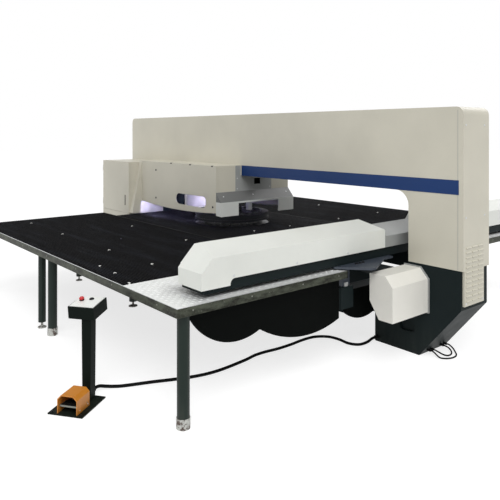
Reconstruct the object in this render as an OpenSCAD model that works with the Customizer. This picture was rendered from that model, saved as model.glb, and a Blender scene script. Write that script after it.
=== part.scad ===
// Turret punch press with a closed frame, brush tables and a cross rail.
// The origin is on the floor below the turret axis. X runs along the frame, Y away from the front.

/* [Frame] */
// Length of the closed frame along the beam
frame_len = 5870; // [5700:10:6200]
// Thickness of the frame over its side covers
frame_t = 430; // [390:5:480]
// Height of the frame
frame_h = 2260; // [2100:10:2500]
// Distance from the turret axis to the right end of the frame
right_reach = 3500; // [3450:10:3700]
// Width of the right column
right_col_w = 555; // [480:5:590]
// Width of the left column
left_col_w = 920; // [800:5:920]
// Height of the throat's upper edge
throat_top = 1495; // [1460:5:1560]
// Radius of the throat's upper corners
arch_r = 140; // [60:5:180]
// Height of the seam between the base and the side covers
base_top = 840; // [800:5:860]
// Height of the lower beam's top
low_top = 640; // [600:5:660]
// Height of the lower beam's underside
low_under = 280; // [200:5:320]
// Length of each end foot on the floor
foot_len = 500; // [400:10:560]
// Length of the centre foot below the turret
centre_foot = 500; // [300:10:700]
// Run of the chamfer at each end of the base
chamfer_w = 420; // [300:10:480]
// Rise of the chamfer at each end of the base
chamfer_h = 500; // [400:10:520]
// Thickness of the frame's covers
cover_t = 20; // [12:1:30]
// Radius of the covers' upper corners
corner_r = 70; // [40:5:120]
// Height of the blue band over the throat
band_h = 127; // [80:1:160]

/* [Turret] */
// Radius of both turret discs
turret_r = 490; // [450:5:495]
// Number of tool stations
stations = 20; // [12:1:22]
// Radius of the circle of tool stations
track_r = 360; // [340:5:362]
// Radius of a tool holder
holder_r = 42; // [36:1:44]
// Height of the upper disc's underside
upper_z = 895; // [893:1:905]
// Thickness of the upper disc
upper_t = 90; // [70:1:92]
// Height of the lower disc's underside
lower_z = 705; // [702:1:715]
// Thickness of the lower disc
lower_t = 135; // [115:1:135]
// Stroke of the ram
ram_stroke = 35; // [20:1:36]
// Radius of the ram
ram_r = 40; // [30:1:45]

/* [Turret housing] */
// Distance from the centre plane to the front of the housing
house_y = 600; // [560:5:640]
// Left end of the housing
house_left = -1456; // [-1500:1:-1400]
// Right end of the housing
house_right = 455; // [455:1:470]
// Height of the housing's top
house_top = 1625; // [1600:5:1660]
// Height of the lowest point of the housing's bowed lower edge
house_low = 1010; // [1006:1:1030]
// Rise of the bowed edge at the ends
house_bow = 40; // [20:1:60]
// Height of the hood's upper edge
hood_top = 1300; // [1270:5:1330]
// Height of the hood's lower edge
hood_low = 1185; // [1170:5:1200]
// Reach of the hood beyond the housing
hood_reach = 105; // [80:5:130]
// Thickness of folded sheet
sheet = 6; // [4:1:8]

/* [Access cabinet] */
// Width of the cabinet
cab_w = 834; // [780:2:860]
// Distance from the centre plane to the cabinet's front edge
cab_y = 740; // [700:5:760]
// Height of the cabinet's floor
cab_low = 600; // [500:5:650]
// Height of the cabinet's top
cab_top = 1605; // [1560:5:1640]
// Thickness of the door
door_t = 24; // [18:1:30]

/* [Tables] */
// Height of the table surface
table_h = 850; // [848:1:856]
// Left end of the tables
table_left = -1850; // [-2000:10:-1750]
// Right end of the tables
table_right = 2860; // [2840:5:2880]
// Distance from the centre plane to the outer table edge
table_y = 2688; // [2640:4:2800]
// Distance from the centre plane to the inner table edge
table_in = 965; // [960:1:1000]
// Height of the table's edge band
edge_h = 64; // [50:1:72]
// Thickness of the brush panel
panel_t = 38; // [30:1:38]
// Width of the tread plate strip
tread_w = 784; // [700:2:820]
// Radius of a table leg
leg_r = 45; // [35:1:50]

/* [Cross rail] */
// Right face of the rail beam at rest
rail_right = 2780; // [2770:1:2790]
// Width of the rail beam
rail_w = 290; // [260:2:300]
// Height of the rail beam's underside
rail_z = 880; // [872:1:884]
// Height of the rail beam
rail_t = 180; // [160:1:182]
// Distance from the centre plane to the end of the rail covers
rail_y = 2448; // [2400:2:2500]
// Distance from the centre plane to the inner end of the rail covers
rail_in = 372; // [340:2:420]
// Height of the cover's ridge
ridge_z = 1207; // [1190:1:1230]
// Travel of the rail over the tables
rail_travel = 1250; // [1000:10:1300]
// Length of the clamp carriage
carriage_len = 1440; // [1400:10:1500]
// Place of the carriage's centre at rest
carriage_y = -1475; // [-1520:5:-1400]
// Distance between the two clamps
clamp_gap = 1250; // [1100:10:1260]

/* [Drive cover] */
// Width of the drive cover
drive_w = 243; // [200:1:260]
// Height of the drive cover
drive_h = 388; // [340:2:400]
// Depth of the drive cover in front of its flange
drive_d = 512; // [400:4:560]

/* [Pedestal] */
// Place of the pedestal along the frame
ped_x = 2010; // [1900:10:2100]
// Place of the pedestal in front of the centre plane
ped_y = -3020; // [-3100:10:-2980]
// Turn of the pedestal about the vertical
ped_turn = 36; // [20:1:50]
// Width of the pedestal's base plate
ped_w = 280; // [270:2:340]
// Depth of the pedestal's base plate
ped_d = 340; // [336:2:380]
// Height of the console's underside at the post
console_z = 630; // [560:5:720]
// Tilt of the console
console_tilt = 8; // [0:1:15]
// Width of the pedal guard
guard_w = 160; // [140:1:180]
// Height of the pedal guard
guard_h = 132; // [126:1:160]
// Depth of the pedal guard
guard_d = 175; // [165:1:190]

/* [Hidden] */
$fn = 64;
over = 2;
slip = 0.5;
running = 0.06;

off_white = [0.80, 0.79, 0.75];
rail_white = [0.90, 0.91, 0.90];
base_grey = [0.20, 0.23, 0.26];
band_blue = [0.12, 0.25, 0.49];
panel_grey = [0.55, 0.56, 0.56];
brush_black = [0.05, 0.05, 0.06];
edge_steel = [0.42, 0.43, 0.38];
leg_green = [0.17, 0.20, 0.19];
steel = [0.70, 0.71, 0.72];
tool_dark = [0.16, 0.16, 0.18];
guard_orange = [0.85, 0.54, 0.17];
rubber_black = [0.04, 0.04, 0.04];

half_t = frame_t / 2;
core_half = half_t - cover_t;
frame_right = right_reach;
frame_left = right_reach - frame_len;
core_right = frame_right - cover_t;
core_left = frame_left + cover_t;
throat_right = frame_right - right_col_w;
throat_left = frame_left + left_col_w;

pocket_w = 170;
pocket_h = 90;
pocket_d = 25;
pocket_inset = 15;
pocket_x = throat_right - pocket_inset;
pocket_z = 235;

louvre_rows = 12;
louvre_cols = 3;
louvre_r = 9;
louvre_len = 86;
louvre_pitch_y = 98;
louvre_pitch_z = 42;
louvre_z = 575;
end_low = 535;
end_far_inset = 90;

band_t = 2;
band_gap = 20;
band_end = 43;

window_w = 692;
window_h = 140;
window_x = -100;
window_z = 1160;
filler_w = 86;
filler_reach = 155;
filler_low = 872;
wall_lift = 15;
bow_chord = house_right - house_left;
bow_r = (bow_chord * bow_chord / 4 + house_bow * house_bow) / (2 * house_bow);
hood_right = house_right + hood_reach;
lip_t = 20;
lip_low = 1015;
lip_in = 330;
throat_panel_half = 300;
socket_w = 100;
socket_h = 75;
socket_y = 56;
socket_z = 1412;

cab_right = house_left;
cab_left = cab_right - cab_w;
door_gap = 1;
door_front = -cab_y - door_gap - door_t;
pull_w = 24;
pull_h = 150;
pull_inset = 113;
pull_z = 1045;
pull_wall = 3;
hinge_r = 6;
hinge_tube_r = 11;
hinge_len = 90;
hinge_out = 13;
hinge_x = cab_left - hinge_out;
hinge_y = door_front + door_t / 2;
door_lift = 12;
door_low = table_h + door_lift;
door_side_gap = 3;
door_right = cab_right - door_side_gap;
kick_gap = 4;
hinge_inset = 70;
hinge_zs = [door_low + hinge_inset, cab_top - hinge_inset - hinge_len];
leaf_t = 5;
leaf_d = 60;

hub_r = 130;
hub_t = 65;
shaft_r = 70;
shaft_end = 12;
bearing_r = 120;
bearing_len = 245;
low_bearing_r = 140;
low_bearing_gap = 5;
low_shaft_gap = 10;
rim_groove = 8;
rim_band = 30;
pin_r = 8;
pin_inset = 26;
pin_track = turret_r - pin_inset;
punch_flange = 5;
punch_flange_t = 7;
punch_cap_r = 30;
punch_cap_t = 10;
punch_tip_r = 20;
punch_tip_t = 20;
holder_drop = 10;
die_t = 60;
die_proud = 6;
die_hole_r = 20;
die_hole_t = 30;
guide_r = 75;
guide_len = 315;
ram_gap = 38;
ram_top_gap = 15;
upper_top = upper_z + upper_t;
lower_top = lower_z + lower_t;
punch_top = upper_top + punch_flange_t + punch_cap_t;

table_low = table_h - edge_h;
panel_low = table_h - panel_t;
wall = 6;
tread_left = table_right - wall - tread_w;
cross_w = 60;
inner_beam_y = 1500;
leg_y = 2590;
thin_share = 0.85;
leg_inset = 75;
mid_leg_x = 391;
leg_xs = [table_right - leg_inset, mid_leg_x];
mid_thin_x = 100;
thin_inset = 150;
thin_xs = [mid_thin_x, table_left + thin_inset];
inner_leg_xs = [40];
inner_thin_inset = 353;
inner_thin_xs = [table_left + inner_thin_inset];
foot_r = 52;
foot_pad_t = 18;
foot_stud_r = 12;
foot_h = 60;
cup_h = 75;
cup_wall = 4;
slot_w = 120;
centre_in = table_in - slot_w;
centre_end_gap = 10;
centre_left = throat_left + centre_end_gap;
centre_right = 2200;
centre_step = 1000;
turret_gap = 8;
post_w = 90;
turret_hole_r = turret_r + turret_gap;
post_end = 240;
post_off = 222;
post_mid = 1450;
post_inset = 120;
post_xs = [
    centre_left + post_end, -turret_hole_r - post_off, turret_hole_r + post_off,
    post_mid, centre_right - post_inset
];

bed_left = 1000;
bed_right = 2800;
bed_w = 160;
bed_z = 500;
bed_top = 690;
bed_y = (table_in + centre_in) / 2;
outrigger_w = 150;
outrigger_inset = 120;
outrigger_low = 420;
outrigger_top = 610;
guide_w = 45;
guide_t = 35;
guide_end = 10;
rail_left = rail_right - rail_w;
saddle_w = 110;
saddle_inset = 10;
saddle_lift = 5;
gusset_t = 18;
gusset_out = 240;
gusset_nose = 90;
gusset_flat = 60;
gusset_tip_y = -840;
gusset_low_y = -295;
gusset_root = 50;
gusset_hole_r = 8;
gusset_hole_pitch = 45;

cover_out = 20;
cover_low = 965;
fold_z = 1135;
ridge_in = 250;
shoulder_drop = 17;
skirt_low = 915;
skirt_len = 258;
skirt_r = 40;
near_bevel_y = 166;
near_bevel_z = 170;
inner_bevel_y = 83;
inner_bevel_z = 85;
centre_drop = 66;
rib_out = 20;
rib_h = 26;
rib_rises = [35, 118];
rib_zs = [for (rise = rib_rises) rail_z + rise];
beam_end = 40;

plate_t = 40;
carriage_lift = 15;
carriage_low = rail_z + carriage_lift;
carriage_drop = 10;
carriage_high = rail_z + rail_t - carriage_drop;
carriage_left = rail_left - rib_out - plate_t;
clamp_w = 120;
clamp_d = 140;
clamp_gap_low = 8;
clamp_h = 102;
clamp_low = table_h + clamp_gap_low;
clamp_top = clamp_low + clamp_h;
anvil_d = 65;
anvil_t = 12;
jaw_w = 48;
jaw_slot = 52;
jaw_gap = 10;
jaw_t = 34;
jaw_pin_r = 8;
jaw_pin_out = 95;
jaw_pin_lift = 60;
jaw_pin_x = carriage_left - jaw_pin_out;
jaw_pin_z = clamp_low + jaw_pin_lift;
jaw_back = 20;
jaw_nose = 16;
clamp_ys = [carriage_y - clamp_gap / 2, carriage_y + clamp_gap / 2];

drive_lap = 28;
drive_left = throat_right - drive_lap;
drive_low = 420;
drive_flange_t = 18;
drive_flange_out = 10;
drive_cut_x_shares = [0.41, 0.32];
drive_cut_z_shares = [0.39, 0.23];

apron_inset = 82;
apron_x = table_right - apron_inset;
apron_t = 12;
apron_y = [-2535, -1000];
apron_deep = 420;
apron_lobe_ys = [-2100, -1350];
apron_lobe_rs = [513, 1033];
apron_sags = [296, 414];
inner_apron_y = [-820, -300];
inner_apron_sag = 90;

base_plate_t = 10;
post_at = [28, 115];
post_half_low = 34;
post_half_high = 41;
post_d = 72;
console_at = [-140, 60];
console_size = [217, 205, 95];
console_round = 110;
console_inset = 8;
control_t = 4;
stop_at = [-60, 178];
start_at = [8, 209];
stop_cap_r = 20;
stop_cap_t = 16;
stop_stem_r = 11;
stop_lift = 12;
stop_travel = 6;
start_r = 13;
start_proud = 9;
start_travel = 4;
button_depth = 26;
button_slip = 0.3;
guard_at = [12, -160];
guard_wall = 5;
guard_cut = 28;
guard_back = 8;
pedal_t = 12;
pedal_side = 4;
pedal_front = 18;
pedal_pin_r = 6;
pedal_pin_z = 46;
pedal_pin_back = 30;
pedal_tail = 12;
pedal_rise = 8;

gland_r = 20;
gland_len = 30;
loop_gland_r = 12;
loop_gland_len = 70;
loop_gland_x = core_right - chamfer_w + loop_gland_len;
loop_gland_z = 45;
pedal_gland_at = [28, 190, 45];
foot_gland_inset = 355;
foot_gland_out = 35;
foot_gland_z = 45;
foot_gland_at = [throat_right - foot_gland_inset, -half_t - foot_gland_out, foot_gland_z];

pedal_cable_r = 13;
loop_cable_r = 7;
cable_sides = 10;
pedal_cable_steps = 3;
loop_cable_steps = 2;
pedal_cable_route = [
    [1921, -2850, 45], [1898, -2818, 45], [1882, -2778, 37], [1886, -2730, 23], [1910, -2675, 15],
    [1950, -2605, 14], [2030, -2400, 14], [2100, -2240, 14], [2150, -2110, 14], [2185, -1960, 14],
    [2190, -1790, 14], [2160, -1530, 14], [2130, -1390, 14], [2130, -1260, 14], [2145, -1130, 14],
    [2145, -960, 14], [2130, -780, 14], [2145, -630, 14], [2230, -525, 14], [2350, -500, 14],
    [2470, -510, 14], [2560, -465, 16], [2590, -380, 26], [2590, -300, 44], [2590, -250, 45]
];
loop_cable_a_route = [
    [3130, -140, 45], [3150, -140, 45], [3178, -142, 35], [3206, -144, 19], [3234, -140, 9],
    [3260, -124, 8], [3282, -98, 8], [3296, -64, 8], [3300, -26, 8], [3294, 12, 8],
    [3278, 46, 8], [3254, 76, 9], [3226, 100, 16], [3198, 116, 29], [3155, 125, 45], [3130, 125, 45]
];
loop_cable_b_route = [
    [3130, -95, 45], [3150, -95, 44], [3172, -94, 39], [3194, -89, 31], [3214, -79, 22],
    [3231, -63, 14], [3243, -42, 9], [3248, -18, 8], [3247, 6, 9], [3240, 29, 12],
    [3227, 48, 18], [3210, 61, 26], [3190, 68, 35], [3170, 70, 41], [3150, 70, 44], [3130, 70, 45]
];

// A box between two limits on each axis
module span(x, y, z) {
    translate([x[0], y[0], z[0]])
        cube([x[1] - x[0], y[1] - y[0], z[1] - z[0]]);
}

// A profile drawn in X and Z, extruded between two values of Y
module along_y(y) {
    translate([0, y[1], 0])
        rotate([90, 0, 0])
            linear_extrude(y[1] - y[0])
                children();
}

// A profile drawn in Y and Z, extruded between two values of X
module along_x(x) {
    translate([x[0], 0, 0])
        rotate([90, 0, 90])
            linear_extrude(x[1] - x[0])
                children();
}

module far_side() {
    mirror([0, 1, 0])
        children();
}

module both_sides() {
    children();
    far_side()
        children();
}

// What a radius takes off a corner whose point is at the origin, with material below and left
module corner_waste(r) {
    translate([-r, -r])
        difference() {
            square([r + over, r + over]);
            circle(r);
        }
}

module stadium(w, h) {
    square([w - h, h], center = true);
    for (side = [-1, 1])
        translate([side * (w - h) / 2, 0])
            circle(h / 2);
}

// Frame and its covers

module throat_profile() {
    difference() {
        translate([throat_left, low_top])
            square([throat_right - throat_left, throat_top - low_top]);
        translate([throat_right, throat_top])
            corner_waste(arch_r);
        translate([throat_left, throat_top])
            mirror([1, 0])
                corner_waste(arch_r);
    }
}

module cover_outline(inset) {
    difference() {
        translate([frame_left + inset, base_top])
            square([frame_len - 2 * inset, frame_h - inset - base_top]);
        translate([frame_right - inset, frame_h - inset])
            corner_waste(corner_r - inset);
        translate([frame_left + inset, frame_h - inset])
            mirror([1, 0])
                corner_waste(corner_r - inset);
    }
}

module base_profile() {
    difference() {
        polygon([
            [core_left, chamfer_h],
            [core_left + chamfer_w, 0],
            [core_left + chamfer_w + foot_len, 0],
            [core_left + chamfer_w + foot_len, low_under],
            [-centre_foot / 2, low_under],
            [-centre_foot / 2, 0],
            [centre_foot / 2, 0],
            [centre_foot / 2, low_under],
            [core_right - chamfer_w - foot_len, low_under],
            [core_right - chamfer_w - foot_len, 0],
            [core_right - chamfer_w, 0],
            [core_right, chamfer_h],
            [core_right, base_top],
            [core_left, base_top]
        ]);
        throat_profile();
    }
}

module frame() {
    color(base_grey)
        difference() {
            union() {
                along_y([-half_t, half_t])
                    base_profile();
                along_y([-core_half, core_half])
                    difference() {
                        cover_outline(cover_t);
                        throat_profile();
                    }
            }
            both_sides()
                along_y([-half_t - over, -half_t + pocket_d])
                    translate([pocket_x, pocket_z])
                        stadium(pocket_w, pocket_h);
        }
}

module near_side_cover() {
    color(off_white)
        along_y([-half_t, -core_half])
            difference() {
                cover_outline(0);
                throat_profile();
            }
}

module far_side_cover() {
    far_side()
        near_side_cover();
}

module top_cover() {
    color(off_white)
        along_y([-core_half, core_half])
            intersection() {
                difference() {
                    cover_outline(0);
                    cover_outline(cover_t);
                }
                translate([frame_left, frame_h - corner_r])
                    square([frame_len, corner_r]);
            }
}

module left_end_cover() {
    color(off_white)
        span([frame_left, core_left], [-core_half, core_half], [base_top, frame_h - corner_r]);
}

module louvre() {
    rotate([90, 0, 0])
        cylinder(r = louvre_r, h = louvre_len, center = true);
}

module louvred_end_cover() {
    color(off_white) {
        span([core_right, frame_right], [-core_half, core_half], [base_top, frame_h - corner_r]);
        span([core_right, frame_right], [-core_half, half_t - end_far_inset], [end_low, base_top]);
        for (row = [0:louvre_rows - 1])
            for (col = [0:louvre_cols - 1])
                translate([
                    frame_right,
                    (cover_t - end_far_inset) / 2 + (col - (louvre_cols - 1) / 2) * louvre_pitch_y,
                    louvre_z + row * louvre_pitch_z
                ])
                    louvre();
    }
}

module trim_bands() {
    color(band_blue)
        both_sides()
            span(
                [house_right + band_gap, frame_right - band_end],
                [-half_t - band_t, -half_t],
                [throat_top, throat_top + band_h]
            );
}

// Turret housing, hood and throat panel

module front_sheet() {
    along_y([-house_y, -house_y + sheet])
        difference() {
            intersection() {
                translate([house_left + sheet, house_low - house_bow])
                    square([bow_chord - sheet, house_top - house_low + house_bow]);
                translate([(house_left + house_right) / 2, house_low + bow_r])
                    circle(bow_r, $fn = 720);
            }
            children();
        }
}

module housing_shell() {
    span([house_left, house_right], [-house_y + sheet, -half_t], [house_top - sheet, house_top]);
    span(
        [house_left, house_left + sheet],
        [-house_y, -half_t],
        [house_low + house_bow + wall_lift, house_top]
    );
    span(
        [house_right - sheet, house_right],
        [-house_y + sheet, -throat_panel_half],
        [hood_top, house_top]
    );
}

module near_turret_housing() {
    color(off_white) {
        housing_shell();
        along_x([house_left, house_left + filler_w])
            polygon([
                [-house_y, house_top - sheet],
                [-house_y, filler_low],
                [-house_y - filler_reach, filler_low]
            ]);
    }
}

module near_front_panel() {
    color(off_white)
        front_sheet()
            translate([window_x, window_z])
                stadium(window_w, window_h);
}

module far_turret_housing() {
    color(off_white)
        far_side() {
            housing_shell();
            front_sheet();
        }
}

module hood_end() {
    span([hood_right - sheet, hood_right], [-house_y, -lip_in], [lip_low, hood_low]);
    along_y([-house_y, -house_y + sheet])
        polygon([
            [house_right, hood_top],
            [hood_right, hood_low],
            [hood_right, lip_low],
            [house_right, lip_low + sheet]
        ]);
}

module turret_hood() {
    color(panel_grey) {
        along_y([-house_y + sheet, house_y - sheet])
            polygon([
                [house_right - sheet, hood_top],
                [house_right, hood_top],
                [hood_right, hood_low],
                [hood_right, hood_low - lip_t],
                [hood_right - sheet, hood_low - lip_t],
                [hood_right - sheet, hood_low - sheet / 2],
                [house_right - sheet, hood_top - sheet]
            ]);
        both_sides()
            hood_end();
    }
}

module throat_panel() {
    color(panel_grey)
        difference() {
            union() {
                span(
                    [house_right - sheet, house_right],
                    [-throat_panel_half, throat_panel_half],
                    [hood_top, throat_top]
                );
                both_sides()
                    span(
                        [house_right - sheet, house_right],
                        [-throat_panel_half, -half_t],
                        [throat_top, house_top - sheet]
                    );
            }
            span(
                [house_right - sheet - over, house_right + over],
                [socket_y - socket_w / 2, socket_y + socket_w / 2],
                [socket_z - socket_h / 2, socket_z + socket_h / 2]
            );
        }
}

// Access cabinet and its door

module access_cabinet() {
    color(off_white)
        difference() {
            union() {
                span([cab_left, cab_right], [-cab_y, -half_t], [cab_low, cab_top]);
                span([cab_left, cab_right], [door_front, -cab_y + over], [cab_low, door_low - kick_gap]);
            }
            span(
                [cab_left + sheet, cab_right - sheet],
                [-cab_y - over, -half_t - sheet],
                [door_low, cab_top - sheet]
            );
            span(
                [cab_left + sheet, cab_right - sheet],
                [door_front + sheet, -half_t - sheet],
                [cab_low + sheet, door_low - kick_gap - sheet]
            );
            span(
                [cab_left + sheet, cab_right - sheet],
                [-cab_y + leaf_d, -half_t - sheet],
                [cab_low + sheet, cab_top - sheet]
            );
        }
}

module pull_box(grow) {
    x = cab_right - pull_inset;
    span(
        [x - pull_w / 2 - grow, x + pull_w / 2 + grow],
        [door_front, door_front + door_t],
        [pull_z - pull_h / 2 - grow, pull_z + pull_h / 2 + grow]
    );
}

module access_door() {
    color(off_white)
        difference() {
            union() {
                span([cab_left, door_right], [door_front, door_front + door_t], [door_low, cab_top]);
                for (z = hinge_zs)
                    translate([hinge_x, hinge_y, z]) {
                        cylinder(r = hinge_tube_r, h = hinge_len / 2);
                        span([0, cab_left - hinge_x + over], [-leaf_t / 2, leaf_t / 2], [0, hinge_len / 2]);
                    }
            }
            for (z = hinge_zs)
                translate([hinge_x, hinge_y, z - over])
                    cylinder(r = hinge_r + running, h = hinge_len);
            translate([0, -over, 0])
                pull_box(0);
            translate([0, over, 0])
                pull_box(0);
        }
}

module door_pull() {
    color(rubber_black)
        difference() {
            pull_box(-button_slip);
            translate([0, -pull_wall, 0])
                pull_box(-pull_wall);
        }
}

module door_hinges() {
    color(steel)
        for (z = hinge_zs)
            translate([hinge_x, hinge_y, z]) {
                cylinder(r = hinge_r, h = hinge_len);
                translate([0, 0, hinge_len / 2 + slip]) {
                    cylinder(r = hinge_tube_r, h = hinge_len / 2 - slip);
                    span(
                        [cab_left - hinge_x - leaf_t, cab_left - hinge_x],
                        [-cab_y - hinge_y, leaf_d],
                        [0, hinge_len / 2 - slip]
                    );
                    span(
                        [0, cab_left - hinge_x - slip],
                        [hinge_r, -cab_y - hinge_y + over],
                        [0, hinge_len / 2 - slip]
                    );
                }
            }
}

// Turret discs, tools and ram

module around_track(r) {
    for (i = [0:stations - 1])
        rotate(i * 360 / stations)
            translate([r, 0, 0])
                children();
}

module disc(z, t) {
    rotate_extrude($fn = 128)
        polygon([
            [0, z],
            [turret_r, z],
            [turret_r, z + rim_band],
            [turret_r - rim_groove, z + rim_band],
            [turret_r - rim_groove, z + t - rim_band],
            [turret_r, z + t - rim_band],
            [turret_r, z + t],
            [0, z + t]
        ]);
}

module upper_turret() {
    color(tool_dark)
        difference() {
            disc(upper_z, upper_t);
            around_track(track_r)
                translate([0, 0, upper_z - over])
                    cylinder(r = holder_r + slip, h = upper_t + 2 * over);
            around_track(pin_track)
                translate([0, 0, upper_z - over])
                    cylinder(r = pin_r, h = upper_t + 2 * over);
        }
}

module upper_shaft() {
    color(tool_dark)
        translate([0, 0, upper_top]) {
            cylinder(r = hub_r, h = hub_t);
            cylinder(r = shaft_r, h = throat_top - shaft_end - upper_top);
        }
}

module punch_holders() {
    color(steel)
        around_track(track_r)
            rotate_extrude()
                polygon([
                    [0, upper_z - holder_drop - punch_tip_t + holder_drop],
                    [punch_tip_r, upper_z - punch_tip_t],
                    [punch_tip_r, upper_z - holder_drop],
                    [holder_r, upper_z - holder_drop],
                    [holder_r, upper_top],
                    [holder_r + punch_flange, upper_top],
                    [holder_r + punch_flange, upper_top + punch_flange_t],
                    [punch_cap_r, upper_top + punch_flange_t],
                    [punch_cap_r, punch_top],
                    [0, punch_top]
                ]);
}

module lower_turret() {
    color(tool_dark)
        difference() {
            disc(lower_z, lower_t);
            around_track(track_r)
                translate([0, 0, lower_top - die_t])
                    cylinder(r = holder_r + slip, h = die_t + over);
        }
}

module lower_shaft() {
    color(tool_dark)
        translate([0, 0, low_top + low_shaft_gap])
            cylinder(r = shaft_r, h = lower_z - low_top - low_shaft_gap);
}

module die_holders() {
    color(steel)
        around_track(track_r)
            translate([0, 0, lower_top - die_t])
                difference() {
                    cylinder(r = holder_r, h = die_t + die_proud);
                    translate([0, 0, die_t + die_proud - die_hole_t])
                        cylinder(r = die_hole_r, h = die_hole_t + over);
                }
}

module ring(r_out, r_in, h) {
    difference() {
        cylinder(r = r_out, h = h);
        translate([0, 0, -over])
            cylinder(r = r_in, h = h + 2 * over);
    }
}

module upper_bearing() {
    color(steel)
        translate([0, 0, throat_top - bearing_len])
            ring(bearing_r, shaft_r + running, bearing_len);
}

module lower_bearing() {
    color(steel)
        translate([0, 0, low_top])
            ring(low_bearing_r, shaft_r + running, lower_z - low_top - low_bearing_gap);
}

module ram_guide() {
    color(base_grey)
        translate([track_r, 0, throat_top - guide_len])
            ring(guide_r, ram_r + running, guide_len);
}

module ram() {
    color(steel)
        translate([track_r, 0, punch_top + ram_gap])
            cylinder(r = ram_r, h = throat_top - ram_top_gap - punch_top - ram_gap);
}

// Tables

module table_frame() {
    difference() {
        span([table_left, table_right], [-table_y, -table_in], [table_low, table_h]);
        span(
            [table_left + wall, table_right - wall],
            [-table_y + wall, -table_in - wall],
            [table_low - over, table_h + over]
        );
    }
    for (x = concat(leg_xs, thin_xs))
        span(
            [x - cross_w / 2, x + cross_w / 2],
            [-table_y + wall / 2, -table_in - wall / 2],
            [table_low, panel_low]
        );
    span(
        [table_left + wall / 2, table_right - wall / 2],
        [-inner_beam_y - cross_w / 2, -inner_beam_y + cross_w / 2],
        [table_low, panel_low]
    );
}

module near_table_frame() {
    color(edge_steel)
        table_frame();
}

module far_table_frame() {
    color(edge_steel)
        far_side()
            table_frame();
}

module brush_top() {
    span(
        [table_left + wall, tread_left],
        [-table_y + wall, -table_in - wall],
        [panel_low, table_h]
    );
}

module near_brush_top() {
    color(brush_black)
        brush_top();
}

module far_brush_top() {
    color(brush_black)
        far_side()
            brush_top();
}

module tread_plates() {
    color(steel)
        both_sides()
            span(
                [tread_left, table_right - wall],
                [-table_y + wall, -table_in - wall],
                [panel_low, table_h]
            );
}

module centre_table() {
    color(brush_black) {
        difference() {
            union() {
                span(
                    [centre_left, centre_step],
                    [-table_in, table_in],
                    [panel_low, table_h]
                );
                span([centre_left, centre_right], [-centre_in, centre_in], [panel_low, table_h]);
            }
            translate([0, 0, panel_low - over])
                cylinder(r = turret_hole_r, h = panel_t + 2 * over, $fn = 128);
        }
        for (x = post_xs)
            span([x - post_w / 2, x + post_w / 2], [-post_w / 2, post_w / 2], [low_top, panel_low]);
    }
}

module leg_places(xs, y) {
    for (x = xs)
        translate([x, -y, 0])
            children();
}

module leg(r) {
    translate([0, 0, foot_h])
        cylinder(r = r, h = table_low - foot_h);
}

module table_legs() {
    color(leg_green)
        both_sides() {
            leg_places(leg_xs, leg_y)
                leg(leg_r);
            leg_places(thin_xs, leg_y)
                leg(leg_r * thin_share);
            leg_places(inner_leg_xs, inner_beam_y)
                leg(leg_r);
            leg_places(inner_thin_xs, inner_beam_y)
                leg(leg_r * thin_share);
        }
}

module screw_foot(r) {
    rotate_extrude()
        polygon([
            [0, 0],
            [r, 0],
            [r, foot_pad_t / 2],
            [foot_stud_r * 2, foot_pad_t],
            [foot_stud_r, foot_pad_t],
            [foot_stud_r, foot_h],
            [0, foot_h]
        ]);
}

module leg_cup() {
    rotate_extrude()
        polygon([
            [0, 0],
            [leg_r + cup_wall, 0],
            [leg_r + cup_wall, cup_h],
            [leg_r, cup_h],
            [leg_r, foot_h],
            [0, foot_h]
        ]);
}

module leg_feet() {
    color(steel)
        both_sides() {
            leg_places([leg_xs[0]], leg_y)
                leg_cup();
            leg_places([leg_xs[1]], leg_y)
                leg_cup();
            leg_places(thin_xs, leg_y)
                screw_foot(foot_r * thin_share);
            leg_places(inner_leg_xs, inner_beam_y)
                screw_foot(foot_r);
            leg_places(inner_thin_xs, inner_beam_y)
                screw_foot(foot_r * thin_share);
        }
}

// Beds and cross rail

module guide_beds() {
    color(base_grey)
        both_sides() {
            span([bed_left, bed_right], [-bed_y - bed_w / 2, -bed_y + bed_w / 2], [bed_z, bed_top]);
            for (x = [bed_left + outrigger_inset, bed_right - outrigger_inset - outrigger_w])
                span(
                    [x, x + outrigger_w],
                    [-bed_y + bed_w / 2 - over, -half_t],
                    [outrigger_low, outrigger_top]
                );
        }
}

module guide_rails() {
    color(steel)
        both_sides()
            span(
                [bed_left + guide_end, bed_right - guide_end],
                [-bed_y - guide_w / 2, -bed_y + guide_w / 2],
                [bed_top, bed_top + guide_t]
            );
}

module saddle() {
    difference() {
        span(
            [rail_left + saddle_inset, rail_right],
            [-bed_y - saddle_w / 2, -bed_y + saddle_w / 2],
            [bed_top + saddle_lift, rail_z]
        );
        span(
            [rail_left, rail_right + over],
            [-bed_y - guide_w / 2 - slip, -bed_y + guide_w / 2 + slip],
            [bed_top, bed_top + guide_t + slip]
        );
    }
    difference() {
        translate([0, 0, rail_z - gusset_t])
            linear_extrude(gusset_t)
                polygon([
                    [rail_left + saddle_inset, -bed_y - saddle_w / 2],
                    [rail_right, -bed_y - saddle_w / 2 - gusset_nose],
                    [rail_right + gusset_out, gusset_tip_y],
                    [rail_right + gusset_out, gusset_tip_y + gusset_flat],
                    [rail_right + gusset_root, -rail_in - gusset_root],
                    [rail_right + gusset_root, gusset_low_y],
                    [rail_left + saddle_inset, gusset_low_y]
                ]);
        for (i = [0:2])
            translate([
                rail_right + gusset_root,
                gusset_tip_y + (i + 1 / 2) * gusset_hole_pitch,
                rail_z - gusset_t - over
            ])
                cylinder(r = gusset_hole_r, h = gusset_t + 2 * over);
    }
}

module saddles() {
    color(base_grey)
        both_sides()
            saddle();
}

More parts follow.
